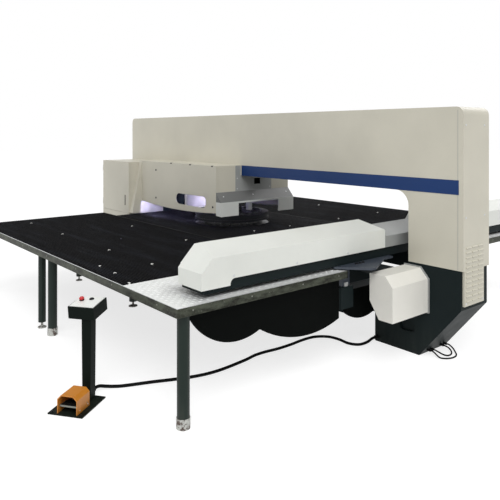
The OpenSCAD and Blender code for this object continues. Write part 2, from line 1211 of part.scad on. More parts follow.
module rail_beam() {
    beam_y = rail_y - beam_end;
    color(base_grey) {
        span([rail_left, rail_right], [-beam_y, beam_y], [rail_z, rail_z + rail_t]);
        for (z = rib_zs)
            span([rail_left - rib_out, rail_left], [-beam_y, beam_y], [z, z + rib_h]);
    }
}

// Section of the rail cover in X and Z, drawn smaller by the sheet for its inside
module cover_section(inset, low, fold, ridge) {
    x_right = rail_right + cover_out;
    polygon([
        [x_right - inset, low],
        [x_right - inset, fold - inset],
        [x_right - ridge_in, ridge - inset],
        [rail_left + inset, ridge - shoulder_drop - inset],
        [rail_left + inset, low]
    ]);
}

// Side view of the near rail cover in Y and Z
module cover_side(inset) {
    difference() {
        polygon([
            [-rail_y + inset, skirt_low - over],
            [-rail_y + inset, ridge_z - near_bevel_z - inset / 2],
            [-rail_y + near_bevel_y + inset / 2, ridge_z - inset],
            [-rail_in - inner_bevel_y, ridge_z - inset],
            [-rail_in, ridge_z - inner_bevel_z - inset],
            [-rail_in, skirt_low - over]
        ]);
        translate([-rail_y + skirt_len + skirt_r, cover_low - skirt_r]) {
            circle(skirt_r);
            translate([0, -cover_low])
                square([rail_y, cover_low + skirt_r]);
            translate([-skirt_r, -cover_low])
                square([skirt_r + over, cover_low]);
        }
        translate([-rail_y - over, 0])
            square([rail_y, skirt_low]);
    }
}

module cover_form(inset) {
    intersection() {
        along_y([-rail_y, -rail_in])
            cover_section(inset, skirt_low - over, fold_z, ridge_z);
        along_x([rail_left - over, rail_right + 2 * cover_out])
            cover_side(inset);
    }
}

module rail_cover() {
    difference() {
        cover_form(0);
        intersection() {
            along_y([-rail_y + sheet, -rail_in + over])
                cover_section(sheet, skirt_low - 2 * over, fold_z, ridge_z);
            along_x([rail_left - over, rail_right + 2 * cover_out])
                polygon([
                    [-rail_y + sheet, skirt_low - 2 * over],
                    [-rail_y + sheet, ridge_z - near_bevel_z - sheet / 2],
                    [-rail_y + near_bevel_y + sheet / 2, ridge_z - sheet],
                    [-rail_in - inner_bevel_y, ridge_z - sheet],
                    [-rail_in + over, ridge_z - inner_bevel_z - sheet - over],
                    [-rail_in + over, skirt_low - 2 * over]
                ]);
        }
        span(
            [rail_left - rib_out - plate_t, rail_left + sheet + over],
            [-rail_y - over, -rail_in + over],
            [0, rail_z + rail_t]
        );
    }
}

module near_rail_cover() {
    color(rail_white)
        rail_cover();
}

module far_rail_cover() {
    color(rail_white)
        far_side()
            rail_cover();
}

module centre_rail_cover() {
    top = rail_z + rail_t;
    ridge = ridge_z - centre_drop;
    fold = fold_z - centre_drop;
    color(panel_grey)
        difference() {
            along_y([-rail_in, rail_in])
                cover_section(0, cover_low, fold, ridge);
            along_y([-rail_in - over, rail_in + over])
                cover_section(sheet, cover_low - over, fold, ridge);
            span([rail_left - over, rail_left + sheet + over], [-rail_in - over, rail_in + over], [0, top]);
        }
}

// Carriage and clamps

module carriage() {
    color(base_grey)
        difference() {
            span(
                [carriage_left, rail_left - slip],
                [carriage_y - carriage_len / 2, carriage_y + carriage_len / 2],
                [carriage_low, carriage_high]
            );
            for (z = rib_zs)
                span(
                    [rail_left - rib_out - slip, rail_left],
                    [carriage_y - carriage_len, carriage_y + carriage_len],
                    [z - slip, z + rib_h + slip]
                );
        }
}

module clamp_body() {
    difference() {
        union() {
            span(
                [carriage_left - clamp_d, carriage_left],
                [-clamp_w / 2, clamp_w / 2],
                [clamp_low, clamp_top]
            );
            span(
                [carriage_left - clamp_d - anvil_d, carriage_left - clamp_d],
                [-clamp_w / 2, clamp_w / 2],
                [clamp_low, clamp_low + anvil_t]
            );
        }
        span(
            [carriage_left - clamp_d - over, jaw_pin_x + jaw_back + jaw_t],
            [-jaw_slot / 2, jaw_slot / 2],
            [clamp_low + anvil_t, clamp_top + over]
        );
        translate([jaw_pin_x, 0, jaw_pin_z])
            rotate([90, 0, 0])
                cylinder(r = jaw_pin_r + running, h = clamp_w + 2 * over, center = true);
    }
}

module clamp_bodies() {
    color(steel)
        for (y = clamp_ys)
            translate([0, y, 0])
                clamp_body();
}

module clamp_jaw() {
    tip_x = carriage_left - clamp_d - anvil_d + over;
    tip_z = clamp_low + anvil_t + jaw_gap;
    color(tool_dark) {
        along_y([-jaw_w / 2, jaw_w / 2])
            polygon([
                [tip_x, tip_z],
                [tip_x, tip_z + jaw_nose],
                [carriage_left - clamp_d, jaw_pin_z + jaw_t / 2],
                [jaw_pin_x + jaw_back, jaw_pin_z + jaw_t / 2],
                [jaw_pin_x + jaw_back, jaw_pin_z - jaw_t / 2],
                [carriage_left - clamp_d, jaw_pin_z - jaw_t / 2],
                [tip_x + jaw_back, tip_z]
            ]);
        translate([jaw_pin_x, 0, jaw_pin_z])
            rotate([90, 0, 0])
                cylinder(r = jaw_pin_r, h = clamp_w, center = true);
    }
}

module clamp_jaw_near() {
    translate([0, clamp_ys[0], 0])
        clamp_jaw();
}

module clamp_jaw_far() {
    translate([0, clamp_ys[1], 0])
        clamp_jaw();
}

// Drive cover on the right foot

module drive_profile(grow) {
    polygon([
        [drive_left - grow, drive_low + drive_h * drive_cut_z_shares[0]],
        [drive_left + drive_w * drive_cut_x_shares[0], drive_low - grow],
        [drive_left + drive_w + grow, drive_low - grow],
        [drive_left + drive_w + grow, drive_low + drive_h * (1 - drive_cut_z_shares[1])],
        [drive_left + drive_w * (1 - drive_cut_x_shares[1]), drive_low + drive_h + grow],
        [drive_left - grow, drive_low + drive_h + grow]
    ]);
}

module drive_cover() {
    color(off_white)
        along_y([-half_t - drive_flange_t - drive_d, -half_t - drive_flange_t])
            drive_profile(0);
}

module drive_flange() {
    color(panel_grey)
        along_y([-half_t - drive_flange_t, -half_t])
            drive_profile(drive_flange_out);
}

// Rubber apron that hangs below the table edge

module inner_apron() {
    half = (inner_apron_y[1] - inner_apron_y[0]) / 2;
    r = (half * half + inner_apron_sag * inner_apron_sag) / (2 * inner_apron_sag);
    intersection() {
        translate([inner_apron_y[0] + half, outrigger_low - inner_apron_sag + r])
            circle(r, $fn = 180);
        translate([inner_apron_y[0], outrigger_low - 2 * inner_apron_sag])
            square([2 * half, outrigger_top - outrigger_low + 2 * inner_apron_sag]);
    }
}

module table_apron() {
    inner_x = bed_right - outrigger_inset;
    color(rubber_black) {
        along_x([apron_x, apron_x + apron_t])
            intersection() {
                union() {
                    for (i = [0:1])
                        translate([apron_lobe_ys[i], table_low - apron_sags[i] + apron_lobe_rs[i]])
                            circle(apron_lobe_rs[i], $fn = 180);
                }
                translate([apron_y[0], table_low - apron_deep])
                    square([apron_y[1] - apron_y[0], apron_deep]);
            }
        along_x([inner_x, inner_x + apron_t])
            inner_apron();
    }
}

// Pedestal with console and foot switch

module on_pedestal() {
    translate([ped_x, ped_y, 0])
        rotate(ped_turn)
            children();
}

module on_console() {
    on_pedestal()
        translate([post_at[0], post_at[1], console_z])
            rotate([console_tilt, 0, 0])
                children();
}

module console_plan(inset) {
    w = console_size[0] - 2 * inset;
    d = console_size[1] - 2 * inset;
    translate([console_at[0] + inset, console_at[1] - post_at[1] + inset])
        difference() {
            square([w, d]);
            translate([0, d])
                mirror([1, 0])
                    corner_waste(console_round - inset);
        }
}

module pedestal() {
    color(leg_green)
        difference() {
            on_pedestal() {
                span([-ped_w / 2, ped_w / 2], [-ped_d / 2, ped_d / 2], [0, base_plate_t]);
                translate([post_at[0], post_at[1], 0])
                    along_y([-post_d / 2, post_d / 2])
                        polygon([
                            [-post_half_low, 0],
                            [post_half_low, 0],
                            [post_half_high, console_z + post_d],
                            [-post_half_high, console_z + post_d]
                        ]);
            }
            on_console()
                linear_extrude(2 * console_size[2])
                    square(2 * console_size[1], center = true);
        }
}

module button_hole(at, r, depth) {
    translate([at[0] - post_at[0], at[1] - post_at[1], console_size[2] - depth])
        cylinder(r = r, h = depth + control_t + over);
}

module console() {
    color(leg_green)
        on_console()
            difference() {
                linear_extrude(console_size[2])
                    console_plan(0);
                button_hole(stop_at, stop_stem_r + button_slip, button_depth);
                button_hole(start_at, start_r + button_slip, button_depth);
            }
}

module control_plate() {
    color(steel)
        on_console()
            difference() {
                translate([0, 0, console_size[2]])
                    linear_extrude(control_t)
                        console_plan(console_inset);
                button_hole(stop_at, stop_stem_r + button_slip, button_depth);
                button_hole(start_at, start_r + button_slip, button_depth);
            }
}

module stop_button() {
    face = console_size[2] + control_t;
    color([0.75, 0.08, 0.10])
        on_console()
            translate([stop_at[0] - post_at[0], stop_at[1] - post_at[1], 0])
                rotate_extrude()
                    polygon([
                        [0, face - button_depth / 2],
                        [stop_stem_r, face - button_depth / 2],
                        [stop_stem_r, face + stop_lift],
                        [stop_cap_r, face + stop_lift],
                        [stop_cap_r, face + stop_lift + stop_cap_t / 2],
                        [stop_stem_r, face + stop_lift + stop_cap_t],
                        [0, face + stop_lift + stop_cap_t]
                    ]);
}

module start_button() {
    face = console_size[2] + control_t;
    color(tool_dark)
        on_console()
            translate([start_at[0] - post_at[0], start_at[1] - post_at[1], face - button_depth / 2])
                cylinder(r = start_r, h = button_depth / 2 + start_proud);
}

module guard_profile(inset) {
    half = guard_w / 2 - inset;
    top = base_plate_t + guard_h - inset;
    polygon([
        [-half, base_plate_t],
        [half, base_plate_t],
        [half, top - guard_cut],
        [half - guard_cut, top],
        [guard_cut - half, top],
        [-half, top - guard_cut]
    ]);
}

module on_guard() {
    on_pedestal()
        translate([guard_at[0], guard_at[1], 0])
            children();
}

module pedal_guard() {
    pin_y = guard_d - guard_back - pedal_pin_back;
    color(guard_orange)
        on_guard()
            difference() {
                along_y([0, guard_d])
                    guard_profile(0);
                along_y([-over, guard_d - guard_back])
                    guard_profile(guard_wall);
                translate([0, pin_y, pedal_pin_z])
                    rotate([0, 90, 0])
                        cylinder(r = pedal_pin_r + running, h = guard_w + over, center = true);
            }
}

module pedal() {
    pin_y = guard_d - guard_back - pedal_pin_back;
    half = guard_w / 2 - guard_wall - pedal_side;
    color(steel)
        on_guard() {
            along_x([-half, half])
                polygon([
                    [pedal_front, pedal_pin_z + pedal_rise],
                    [pedal_front, pedal_pin_z + pedal_rise + pedal_t],
                    [pin_y, pedal_pin_z + pedal_t],
                    [pin_y + pedal_tail, pedal_pin_z],
                    [pin_y, pedal_pin_z - pedal_t],
                    [pin_y - pedal_tail, pedal_pin_z]
                ]);
            translate([0, pin_y, pedal_pin_z])
                rotate([0, 90, 0])
                    cylinder(r = pedal_pin_r, h = guard_w, center = true);
        }
}

// Cables and their glands

function unit(v) = v / norm(v);
function last(p) = p[len(p) - 1];

function pick(p, i) = p[max(0, min(len(p) - 1, i))];
function curve_point(p, i, t) =
    let (a = pick(p, i - 1), b = pick(p, i), c = pick(p, i + 1), d = pick(p, i + 2))
    (2 * b + (c - a) * t + (2 * a - 5 * b + 4 * c - d) * t * t + (3 * b - a - 3 * c + d) * t * t * t) / 2;
function route(p, n) = concat(
    [for (i = [0:len(p) - 2]) for (k = [0:n - 1]) curve_point(p, i, k / n)],
    [p[len(p) - 1]]
);
function ring_points(path, i, r) =
    let (
        along = unit(pick(path, i + 1) - pick(path, i - 1)),
        across = unit(cross(along, [0, 0, 1])),
        up = cross(across, along)
    )
    [for (k = [0:cable_sides - 1])
        path[i] + r * (cos(360 * k / cable_sides) * across + sin(360 * k / cable_sides) * up)];

module tube(path, r) {
    n = len(path);
    s = cable_sides;
    points = [for (i = [0:n - 1]) each ring_points(path, i, r)];
    sides = [for (i = [0:n - 2]) for (k = [0:s - 1])
        [i * s + k, i * s + (k + 1) % s, (i + 1) * s + (k + 1) % s, (i + 1) * s + k]];
    ends = [
        [for (k = [0:s - 1]) s - 1 - k],
        [for (k = [0:s - 1]) (n - 1) * s + k]
    ];
    polyhedron(points, concat(sides, ends));
}

module cable_glands() {
    color(rubber_black) {
        on_pedestal()
            translate([pedal_gland_at[0], pedal_gland_at[1], pedal_gland_at[2]])
                rotate([90, 0, 0])
                    cylinder(r = gland_r, h = pedal_gland_at[1] - post_at[1] - post_d / 2);
        translate(foot_gland_at)
            rotate([-90, 0, 0])
                cylinder(r = gland_r, h = -half_t - foot_gland_at[1]);
        difference() {
            for (y = [loop_cable_a_route[0][1], loop_cable_b_route[0][1],
                      last(loop_cable_a_route)[1], last(loop_cable_b_route)[1]])
                translate([core_right - chamfer_w, y, loop_gland_z])
                    rotate([0, 90, 0])
                        cylinder(r = loop_gland_r, h = loop_gland_x - core_right + chamfer_w);
            along_y([-half_t - over, half_t + over])
                base_profile();
        }
    }
}

module pedal_cable() {
    color(rubber_black)
        tube(route(pedal_cable_route, pedal_cable_steps), pedal_cable_r);
}

module loop_cable_a() {
    color(rubber_black)
        tube(route(loop_cable_a_route, loop_cable_steps), loop_cable_r);
}

module loop_cable_b() {
    color(rubber_black)
        tube(route(loop_cable_b_route, loop_cable_steps), loop_cable_r);
}

frame();
near_side_cover();
far_side_cover();
top_cover();
left_end_cover();
louvred_end_cover();
trim_bands();
near_turret_housing();
near_front_panel();
far_turret_housing();
turret_hood();
throat_panel();
access_cabinet();
access_door();
door_pull();
door_hinges();
upper_turret();
upper_shaft();
lower_turret();
lower_shaft();
punch_holders();
die_holders();
upper_bearing();
lower_bearing();
ram_guide();
ram();
near_table_frame();
far_table_frame();
near_brush_top();
far_brush_top();
tread_plates();
centre_table();
table_legs();
leg_feet();
guide_beds();
guide_rails();
saddles();
rail_beam();
near_rail_cover();
centre_rail_cover();
far_rail_cover();
carriage();
clamp_bodies();
clamp_jaw_near();
clamp_jaw_far();
drive_cover();
drive_flange();
table_apron();
pedestal();
console();
control_plate();
stop_button();
start_button();
pedal_guard();
pedal();
cable_glands();
pedal_cable();
loop_cable_a();
loop_cable_b();
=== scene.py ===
import math

import bmesh
import bpy
from mathutils import Matrix, Vector


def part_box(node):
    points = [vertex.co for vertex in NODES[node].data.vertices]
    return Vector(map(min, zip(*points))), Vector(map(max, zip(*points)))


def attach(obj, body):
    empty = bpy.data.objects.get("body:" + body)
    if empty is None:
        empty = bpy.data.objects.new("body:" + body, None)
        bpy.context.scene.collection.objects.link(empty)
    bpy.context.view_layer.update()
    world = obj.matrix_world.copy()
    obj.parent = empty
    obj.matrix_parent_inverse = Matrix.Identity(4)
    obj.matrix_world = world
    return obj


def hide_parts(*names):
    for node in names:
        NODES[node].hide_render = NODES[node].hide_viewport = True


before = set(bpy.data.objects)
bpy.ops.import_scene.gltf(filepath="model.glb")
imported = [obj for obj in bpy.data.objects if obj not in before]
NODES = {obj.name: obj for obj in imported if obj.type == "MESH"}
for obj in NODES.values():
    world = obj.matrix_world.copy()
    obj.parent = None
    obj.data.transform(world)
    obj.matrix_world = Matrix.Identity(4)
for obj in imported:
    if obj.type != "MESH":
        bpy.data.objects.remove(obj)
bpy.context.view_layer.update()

SCENE = bpy.context.scene
SCENE.view_settings.view_transform = "Standard"


# Camera, at the photograph's viewing angle

CAMERA_AT = (6.1615, -4.7907, 2.0348)
CAMERA_YAW = 50.357
CAMERA_LENS = 41.83
CAMERA_SHIFT_Y = -0.235
CAMERA_SENSOR = 36
CAMERA_FAR = 200
LEVEL = 90


def add_camera():
    data = bpy.data.cameras.new("camera")
    data.sensor_width = CAMERA_SENSOR
    data.lens = CAMERA_LENS
    data.shift_y = CAMERA_SHIFT_Y
    data.clip_end = CAMERA_FAR
    camera = bpy.data.objects.new("camera", data)
    camera.location = CAMERA_AT
    camera.rotation_euler = (math.radians(LEVEL), 0, math.radians(CAMERA_YAW))
    SCENE.collection.objects.link(camera)
    SCENE.camera = camera


add_camera()


# Cables, on the routes that the solids follow, in metres

PEDAL_CABLE = [
    (1.921, -2.850, 0.045), (1.898, -2.818, 0.045), (1.882, -2.778, 0.037), (1.886, -2.730, 0.023),
    (1.910, -2.675, 0.015), (1.950, -2.605, 0.014), (2.030, -2.400, 0.014), (2.100, -2.240, 0.014),
    (2.150, -2.110, 0.014), (2.185, -1.960, 0.014), (2.190, -1.790, 0.014), (2.160, -1.530, 0.014),
    (2.130, -1.390, 0.014), (2.130, -1.260, 0.014), (2.145, -1.130, 0.014), (2.145, -0.960, 0.014),
    (2.130, -0.780, 0.014), (2.145, -0.630, 0.014), (2.230, -0.525, 0.014), (2.350, -0.500, 0.014),
    (2.470, -0.510, 0.014), (2.560, -0.465, 0.016), (2.590, -0.380, 0.026), (2.590, -0.300, 0.044),
    (2.590, -0.250, 0.045),
]
OUTER_LOOP = [
    (3.130, -0.140, 0.045), (3.150, -0.140, 0.045), (3.178, -0.142, 0.035), (3.206, -0.144, 0.019),
    (3.234, -0.140, 0.009), (3.260, -0.124, 0.008), (3.282, -0.098, 0.008), (3.296, -0.064, 0.008),
    (3.300, -0.026, 0.008), (3.294, 0.012, 0.008), (3.278, 0.046, 0.008), (3.254, 0.076, 0.009),
    (3.226, 0.100, 0.016), (3.198, 0.116, 0.029), (3.155, 0.125, 0.045), (3.130, 0.125, 0.045),
]
INNER_LOOP = [
    (3.130, -0.095, 0.045), (3.150, -0.095, 0.044), (3.172, -0.094, 0.039), (3.194, -0.089, 0.031),
    (3.214, -0.079, 0.022), (3.231, -0.063, 0.014), (3.243, -0.042, 0.009), (3.248, -0.018, 0.008),
    (3.247, 0.006, 0.009), (3.240, 0.029, 0.012), (3.227, 0.048, 0.018), (3.210, 0.061, 0.026),
    (3.190, 0.068, 0.035), (3.170, 0.070, 0.041), (3.150, 0.070, 0.044), (3.130, 0.070, 0.045),
]


def catmull(points, steps):
    """Points on the smooth curve through a route, as the solids have it."""
    out = []
    last = len(points) - 1
    for i in range(last):
        a, b, c, d = (Vector(points[min(max(k, 0), last)]) for k in (i - 1, i, i + 1, i + 2))
        for k in range(steps):
            t = k / steps
            out.append((2 * b + (c - a) * t + (2 * a - 5 * b + 4 * c - d) * t ** 2
                        + (3 * b - a - 3 * c + d) * t ** 3) / 2)
    out.append(Vector(points[last]))
    return out


def path_length(points):
    return sum((b - a).length for a, b in zip(points, points[1:]))


PEDAL_CABLE_D = 0.026
LOOP_D = 0.014
ROUTE_STEPS = 6


def cable(name, route, diameter, node):
    """A round cable. Each point's radius gives the thickness, on a bevel of 1."""
    points = catmull(route, ROUTE_STEPS)
    curve = bpy.data.curves.new(name, "CURVE")
    curve.dimensions = "3D"
    curve.bevel_depth = 1.0
    curve.bevel_resolution = 5
    curve.use_fill_caps = True
    spline = curve.splines.new("POLY")
    spline.points.add(len(points) - 1)
    for spot, p in zip(spline.points, points):
        spot.co = (*p, 1)
        spot.radius = diameter / 2
    piece = bpy.data.objects.new(name, curve)
    SCENE.collection.objects.link(piece)
    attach(piece, "base")
    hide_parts(node)
    path_length(points)
    return piece


CABLES = [
    cable("floor_cable", PEDAL_CABLE, PEDAL_CABLE_D, "pedal_cable"),
    cable("outer_loop", OUTER_LOOP, LOOP_D, "loop_cable_a"),
    cable("inner_loop", INNER_LOOP, LOOP_D, "loop_cable_b"),
]


# Materials

X, Y, Z = range(3)
SEEN_RAYS = ["Is Camera Ray", "Is Glossy Ray", "Is Transmission Ray"]


class Value:
    """A shader socket. Arithmetic on it adds Math nodes."""

    def __init__(self, shading, socket):
        self.shading = shading
        self.socket = socket

    def math(self, operation, *terms):
        return self.shading.node("ShaderNodeMath", {"operation": operation}, dict(enumerate(terms)))

    def __add__(self, other):
        return self.math("ADD", self, other)

    def __rsub__(self, other):
        return self.math("SUBTRACT", other, self)

    def __mul__(self, other):
        return self.math("MULTIPLY", self, other)

    def __rmul__(self, other):
        return self.math("MULTIPLY", other, self)


class Shading:
    """A node tree, with one method that adds any node."""

    def __init__(self, tree):
        self.tree = tree

    def node(self, kind, settings=None, inputs=None, out=0):
        made = self.tree.nodes.new(kind)
        for key, value in (settings or {}).items():
            setattr(made, key, value)
        for key, value in (inputs or {}).items():
            if isinstance(value, Value):
                self.tree.links.new(value.socket, made.inputs[key])
            else:
                made.inputs[key].default_value = value
        return Value(self, made.outputs[out])

    def seen(self):
        """1 for the rays that show the background, to the camera or in a reflection."""
        first, *others = (self.node("ShaderNodeLightPath", out=kind) for kind in SEEN_RAYS)
        for other in others:
            first = first.math("MAXIMUM", first, other)
        return first


class Look(Shading):
    """A material with one Principled shader."""

    def __init__(self, name, **constants):
        self.material = bpy.data.materials.new(name)
        self.material.use_nodes = True
        super().__init__(self.material.node_tree)
        self.shader = self.tree.nodes["Principled BSDF"]
        for socket, value in constants.items():
            self.shader.inputs[socket.replace("_", " ")].default_value = value
        self.place = self.node("ShaderNodeTexCoord", out="Object")

    def feed(self, socket, value):
        self.tree.links.new(value.socket, self.shader.inputs[socket])

    def noise(self, scale, detail=4, rough=0.55, at=None):
        return self.node("ShaderNodeTexNoise", {"noise_dimensions": "3D"},
                         {"Vector": at or self.place, "Scale": scale, "Detail": detail,
                          "Roughness": rough})

    def stretch(self, scale, turn=(0, 0, 0)):
        return self.node("ShaderNodeMapping", None,
                         {"Vector": self.place, "Rotation": turn, "Scale": scale})

    def axis(self, index):
        return self.node("ShaderNodeSeparateXYZ", None, {0: self.place}, index)

    def band(self, value, low, high):
        return self.node("ShaderNodeMapRange", {"clamp": True},
                         {0: value, 1: low, 2: high, 3: 0.0, 4: 1.0})

    def blend(self, share, first, second):
        def full(c):
            return c if isinstance(c, Value) else (*c, 1)
        return self.node("ShaderNodeMix", {"data_type": "RGBA"},
                         {0: share, 6: full(first), 7: full(second)}, 2)

    def bump(self, height, strength, distance):
        self.feed("Normal", self.node("ShaderNodeBump", None,
                                      {"Strength": strength, "Distance": distance, "Height": height}))


def shade(colour, factor):
    return tuple(min(1.0, c * factor) for c in colour)


def srgb(text):
    """Linear colour from a hex code."""
    out = []
    for i in (0, 2, 4):
        c = int(text[i:i + 2], 16) / 255
        out.append(c / 12.92 if c <= 0.04045 else ((c + 0.055) / 1.055) ** 2.4)
    return tuple(out)


OFF_WHITE = srgb("cac6b7")
RAIL_WHITE = srgb("e2e4de")
BASE_GREY = srgb("1b2324")
BAND_BLUE = srgb("0b3166")
PANEL_GREY = srgb("9a9c9a")
LEG_GREEN = srgb("1a2621")
DUST = srgb("5e6057")
# Black painted as the shade inside a recess.
RECESS_SHADE_BLACK = srgb("060607")
EDGE_FADE = 0.001
PEEL = 0.15
# Limit and fade of the black painted as shade on the tables' inner edges.
EDGE_SHADE_LIMIT = 0.968
EDGE_SHADE_FADE = 0.012
DARK_PATCH_AT = (2.54, -2.37, 0.85)
HOOD_FOLD = 1.186
# Y and Z limits of the throat panel's opening, painted black as shade.
THROAT_RECESS_SHADE = ((0.0055, 0.1065), (1.374, 1.450))
# Turn of the paler streaks painted as sheen on the brushes.
SHEEN_TURN = math.radians(24)


def paint(name, colour, rough=0.42, dust=0.0, dusty=None, shade_above=None, shine=0.5, recess_shade=None):
    """Sprayed machine paint with faint unevenness, orange peel and dust that settles low.

    Dust is how much there is, and dusty the heights between which it fades. A height with a colour for
    above it paints that colour over the face there as shade. Y and Z limits given for a recess paint it
    black as its shade.
    """
    look = Look(name, Metallic=0.0, Specular_IOR_Level=shine)
    broad = look.band(look.noise(scale=1.3, detail=3), 0.3, 0.7)
    fine = look.band(look.noise(scale=38.0, detail=2), 0.55, 0.8) * 0.12

    def sprayed(base):
        uneven = look.blend(broad, shade(base, 0.93), shade(base, 1.05))
        return look.blend(fine, uneven, shade(base, 0.8))

    tone = sprayed(colour)
    # Painted shade: above the height the face takes the darker colour.
    if shade_above:
        height, over = shade_above
        upper = look.band(look.axis(Z), height - EDGE_FADE, height + EDGE_FADE)
        tone = look.blend(upper, tone, sprayed(over))
    # Painted shade: the recess is painted black.
    if recess_shade:
        inside = 1.0
        for axis, (low, high) in zip((Y, Z), recess_shade):
            place = look.axis(axis)
            inside = inside * look.band(place, low - EDGE_FADE, low)
            inside = inside * (1 - look.band(place, high, high + EDGE_FADE))
        tone = look.blend(inside, tone, RECESS_SHADE_BLACK)
    if dusty:
        low = 1 - look.band(look.axis(Z), *dusty)
        streak = look.noise(scale=1.0, detail=5, rough=0.65, at=look.stretch((9, 9, 1.4)))
        tone = look.blend(low * look.band(streak, 0.35, 0.75) * dust, tone, DUST)
    look.feed("Base Color", tone)
    patches = look.band(look.noise(scale=6.0, detail=4), 0.0, 1.0)
    look.feed("Roughness", patches * 0.16 + (rough - 0.08))
    look.bump(look.noise(scale=420.0, detail=1), PEEL, 0.0006)
    return look.material


def steel(name, colour, rough, grain=(1, 1, 120), metal=1.0, spots=None):
    """Ground steel whose grain runs along one axis, with spots of another colour."""
    look = Look(name, Metallic=metal)
    lines = look.noise(scale=6.0, detail=3, rough=0.6, at=look.stretch(grain))
    broad = look.noise(scale=3.0, detail=4)
    tone = look.blend(look.band(lines, 0.3, 0.7), shade(colour, 0.86), shade(colour, 1.08))
    if spots:
        worn = look.band(look.noise(scale=26.0, detail=6, rough=0.7), 0.48, 0.56) * 0.9
        tone = look.blend(worn, tone, spots)
    look.feed("Base Color", tone)
    look.feed("Roughness", look.band(broad, 0.2, 0.8) * 0.14 + lines * 0.1 + (rough - 0.12))
    look.bump(lines, 0.12, 0.0006)
    return look.material


def plastic(name, colour, rough, grain=600.0, shine=0.5):
    """Moulded plastic or rubber with a fine grain."""
    look = Look(name, Metallic=0.0, Specular_IOR_Level=shine)
    broad = look.band(look.noise(scale=9.0, detail=3), 0.3, 0.7)
    look.feed("Base Color", look.blend(broad, shade(colour, 0.85), shade(colour, 1.15)))
    look.feed("Roughness", look.noise(scale=24.0, detail=3) * 0.14 + (rough - 0.07))
    look.bump(look.noise(scale=grain, detail=2), 0.2, 0.0004)
    return look.material


def edge_metal(name):
    """Mottled dark steel of the tables' edges, painted black as shade where it meets the brushes inside."""
    look = Look(name, Metallic=0.55, Specular_IOR_Level=0.25)
    stains = look.noise(scale=7.0, detail=6, rough=0.65, at=look.stretch((1, 1, 3)))
    lines = look.noise(scale=6.0, detail=3, rough=0.6, at=look.stretch((2, 2, 90)))
    tone = look.blend(look.band(stains, 0.38, 0.62), srgb("24251f"), srgb("4e5247"))
    flecks = look.band(look.noise(scale=60.0, detail=4, rough=0.7), 0.62, 0.74) * 0.6
    tone = look.blend(flecks, tone, srgb("8b8d82"))
    # Painted shade: inward of the limit the steel is painted black.
    side = look.axis(Y)
    clear_of_shade = look.band(side.math("ABSOLUTE", side), EDGE_SHADE_LIMIT, EDGE_SHADE_LIMIT + EDGE_SHADE_FADE)
    look.feed("Base Color", look.blend(clear_of_shade, srgb("050507"), tone))
    look.feed("Roughness", stains * 0.2 + lines * 0.1 + 0.36)
    look.bump(lines, 0.12, 0.0006)
    return look.material


def tread_metal(name):
    """Bright rolled plate, with a dark patch near where the rail's end passes over."""
    look = Look(name, Metallic=0.3)
    broad = look.noise(scale=3.0, detail=4)
    fine = look.noise(scale=30.0, detail=5, rough=0.65)
    tone = look.blend(look.band(fine, 0.35, 0.7), srgb("e2e4e2"), srgb("f4f5f4"))
    away = look.node("ShaderNodeVectorMath", {"operation": "DISTANCE"}, {0: look.place, 1: DARK_PATCH_AT}, 1)
    patch = (1 - look.band(away + broad * 0.5, 0.24, 0.5)) * look.band(fine, 0.3, 0.6)
    look.feed("Base Color", look.blend(patch * 0.75, tone, srgb("77787a")))
    look.feed("Roughness", look.band(broad, 0.2, 0.8) * 0.16 + fine * 0.12 + 0.32)
    look.bump(fine, 0.15, 0.0008)
    return look.material


def bristles(name):
    """Black nylon bristles, with paler bluish streaks painted as sheen and darker specks painted as shade
    in the gaps between tufts.
    """
    look = Look(name, Metallic=0.0, Specular_IOR_Level=0.15)
    # Painted sheen: paler bluish streaks at a turn across the table.
    along = look.stretch((0.9, 7.0, 1.0), (0, 0, SHEEN_TURN))
    streak = look.noise(scale=1.0, detail=5, rough=0.6, at=along)
    tone = look.blend(look.band(streak, 0.5, 0.72), srgb("08080b"), srgb("1e2026"))
    # Painted shade in the gaps between tufts.
    gap_shade = look.band(look.noise(scale=90.0, detail=2), 0.4, 0.8) * 0.5
    look.feed("Base Color", look.blend(gap_shade, tone, srgb("040406")))
    look.feed("Roughness", look.noise(scale=30.0, detail=2) * 0.2 + 0.7)
    look.bump(look.noise(scale=700.0, detail=2), 0.3, 0.001)
    return look.material


def glow(name, colour, strength):
    """A frosted lens that is lit almost evenly."""
    look = Look(name, Emission_Strength=strength, Roughness=0.5)
    patches = look.band(look.noise(scale=5.0, detail=2), 0.2, 0.8)
    look.feed("Emission Color", look.blend(patches, shade(colour, 0.9), colour))
    look.feed("Base Color", look.blend(patches, shade(colour, 0.8), colour))
    return look.material


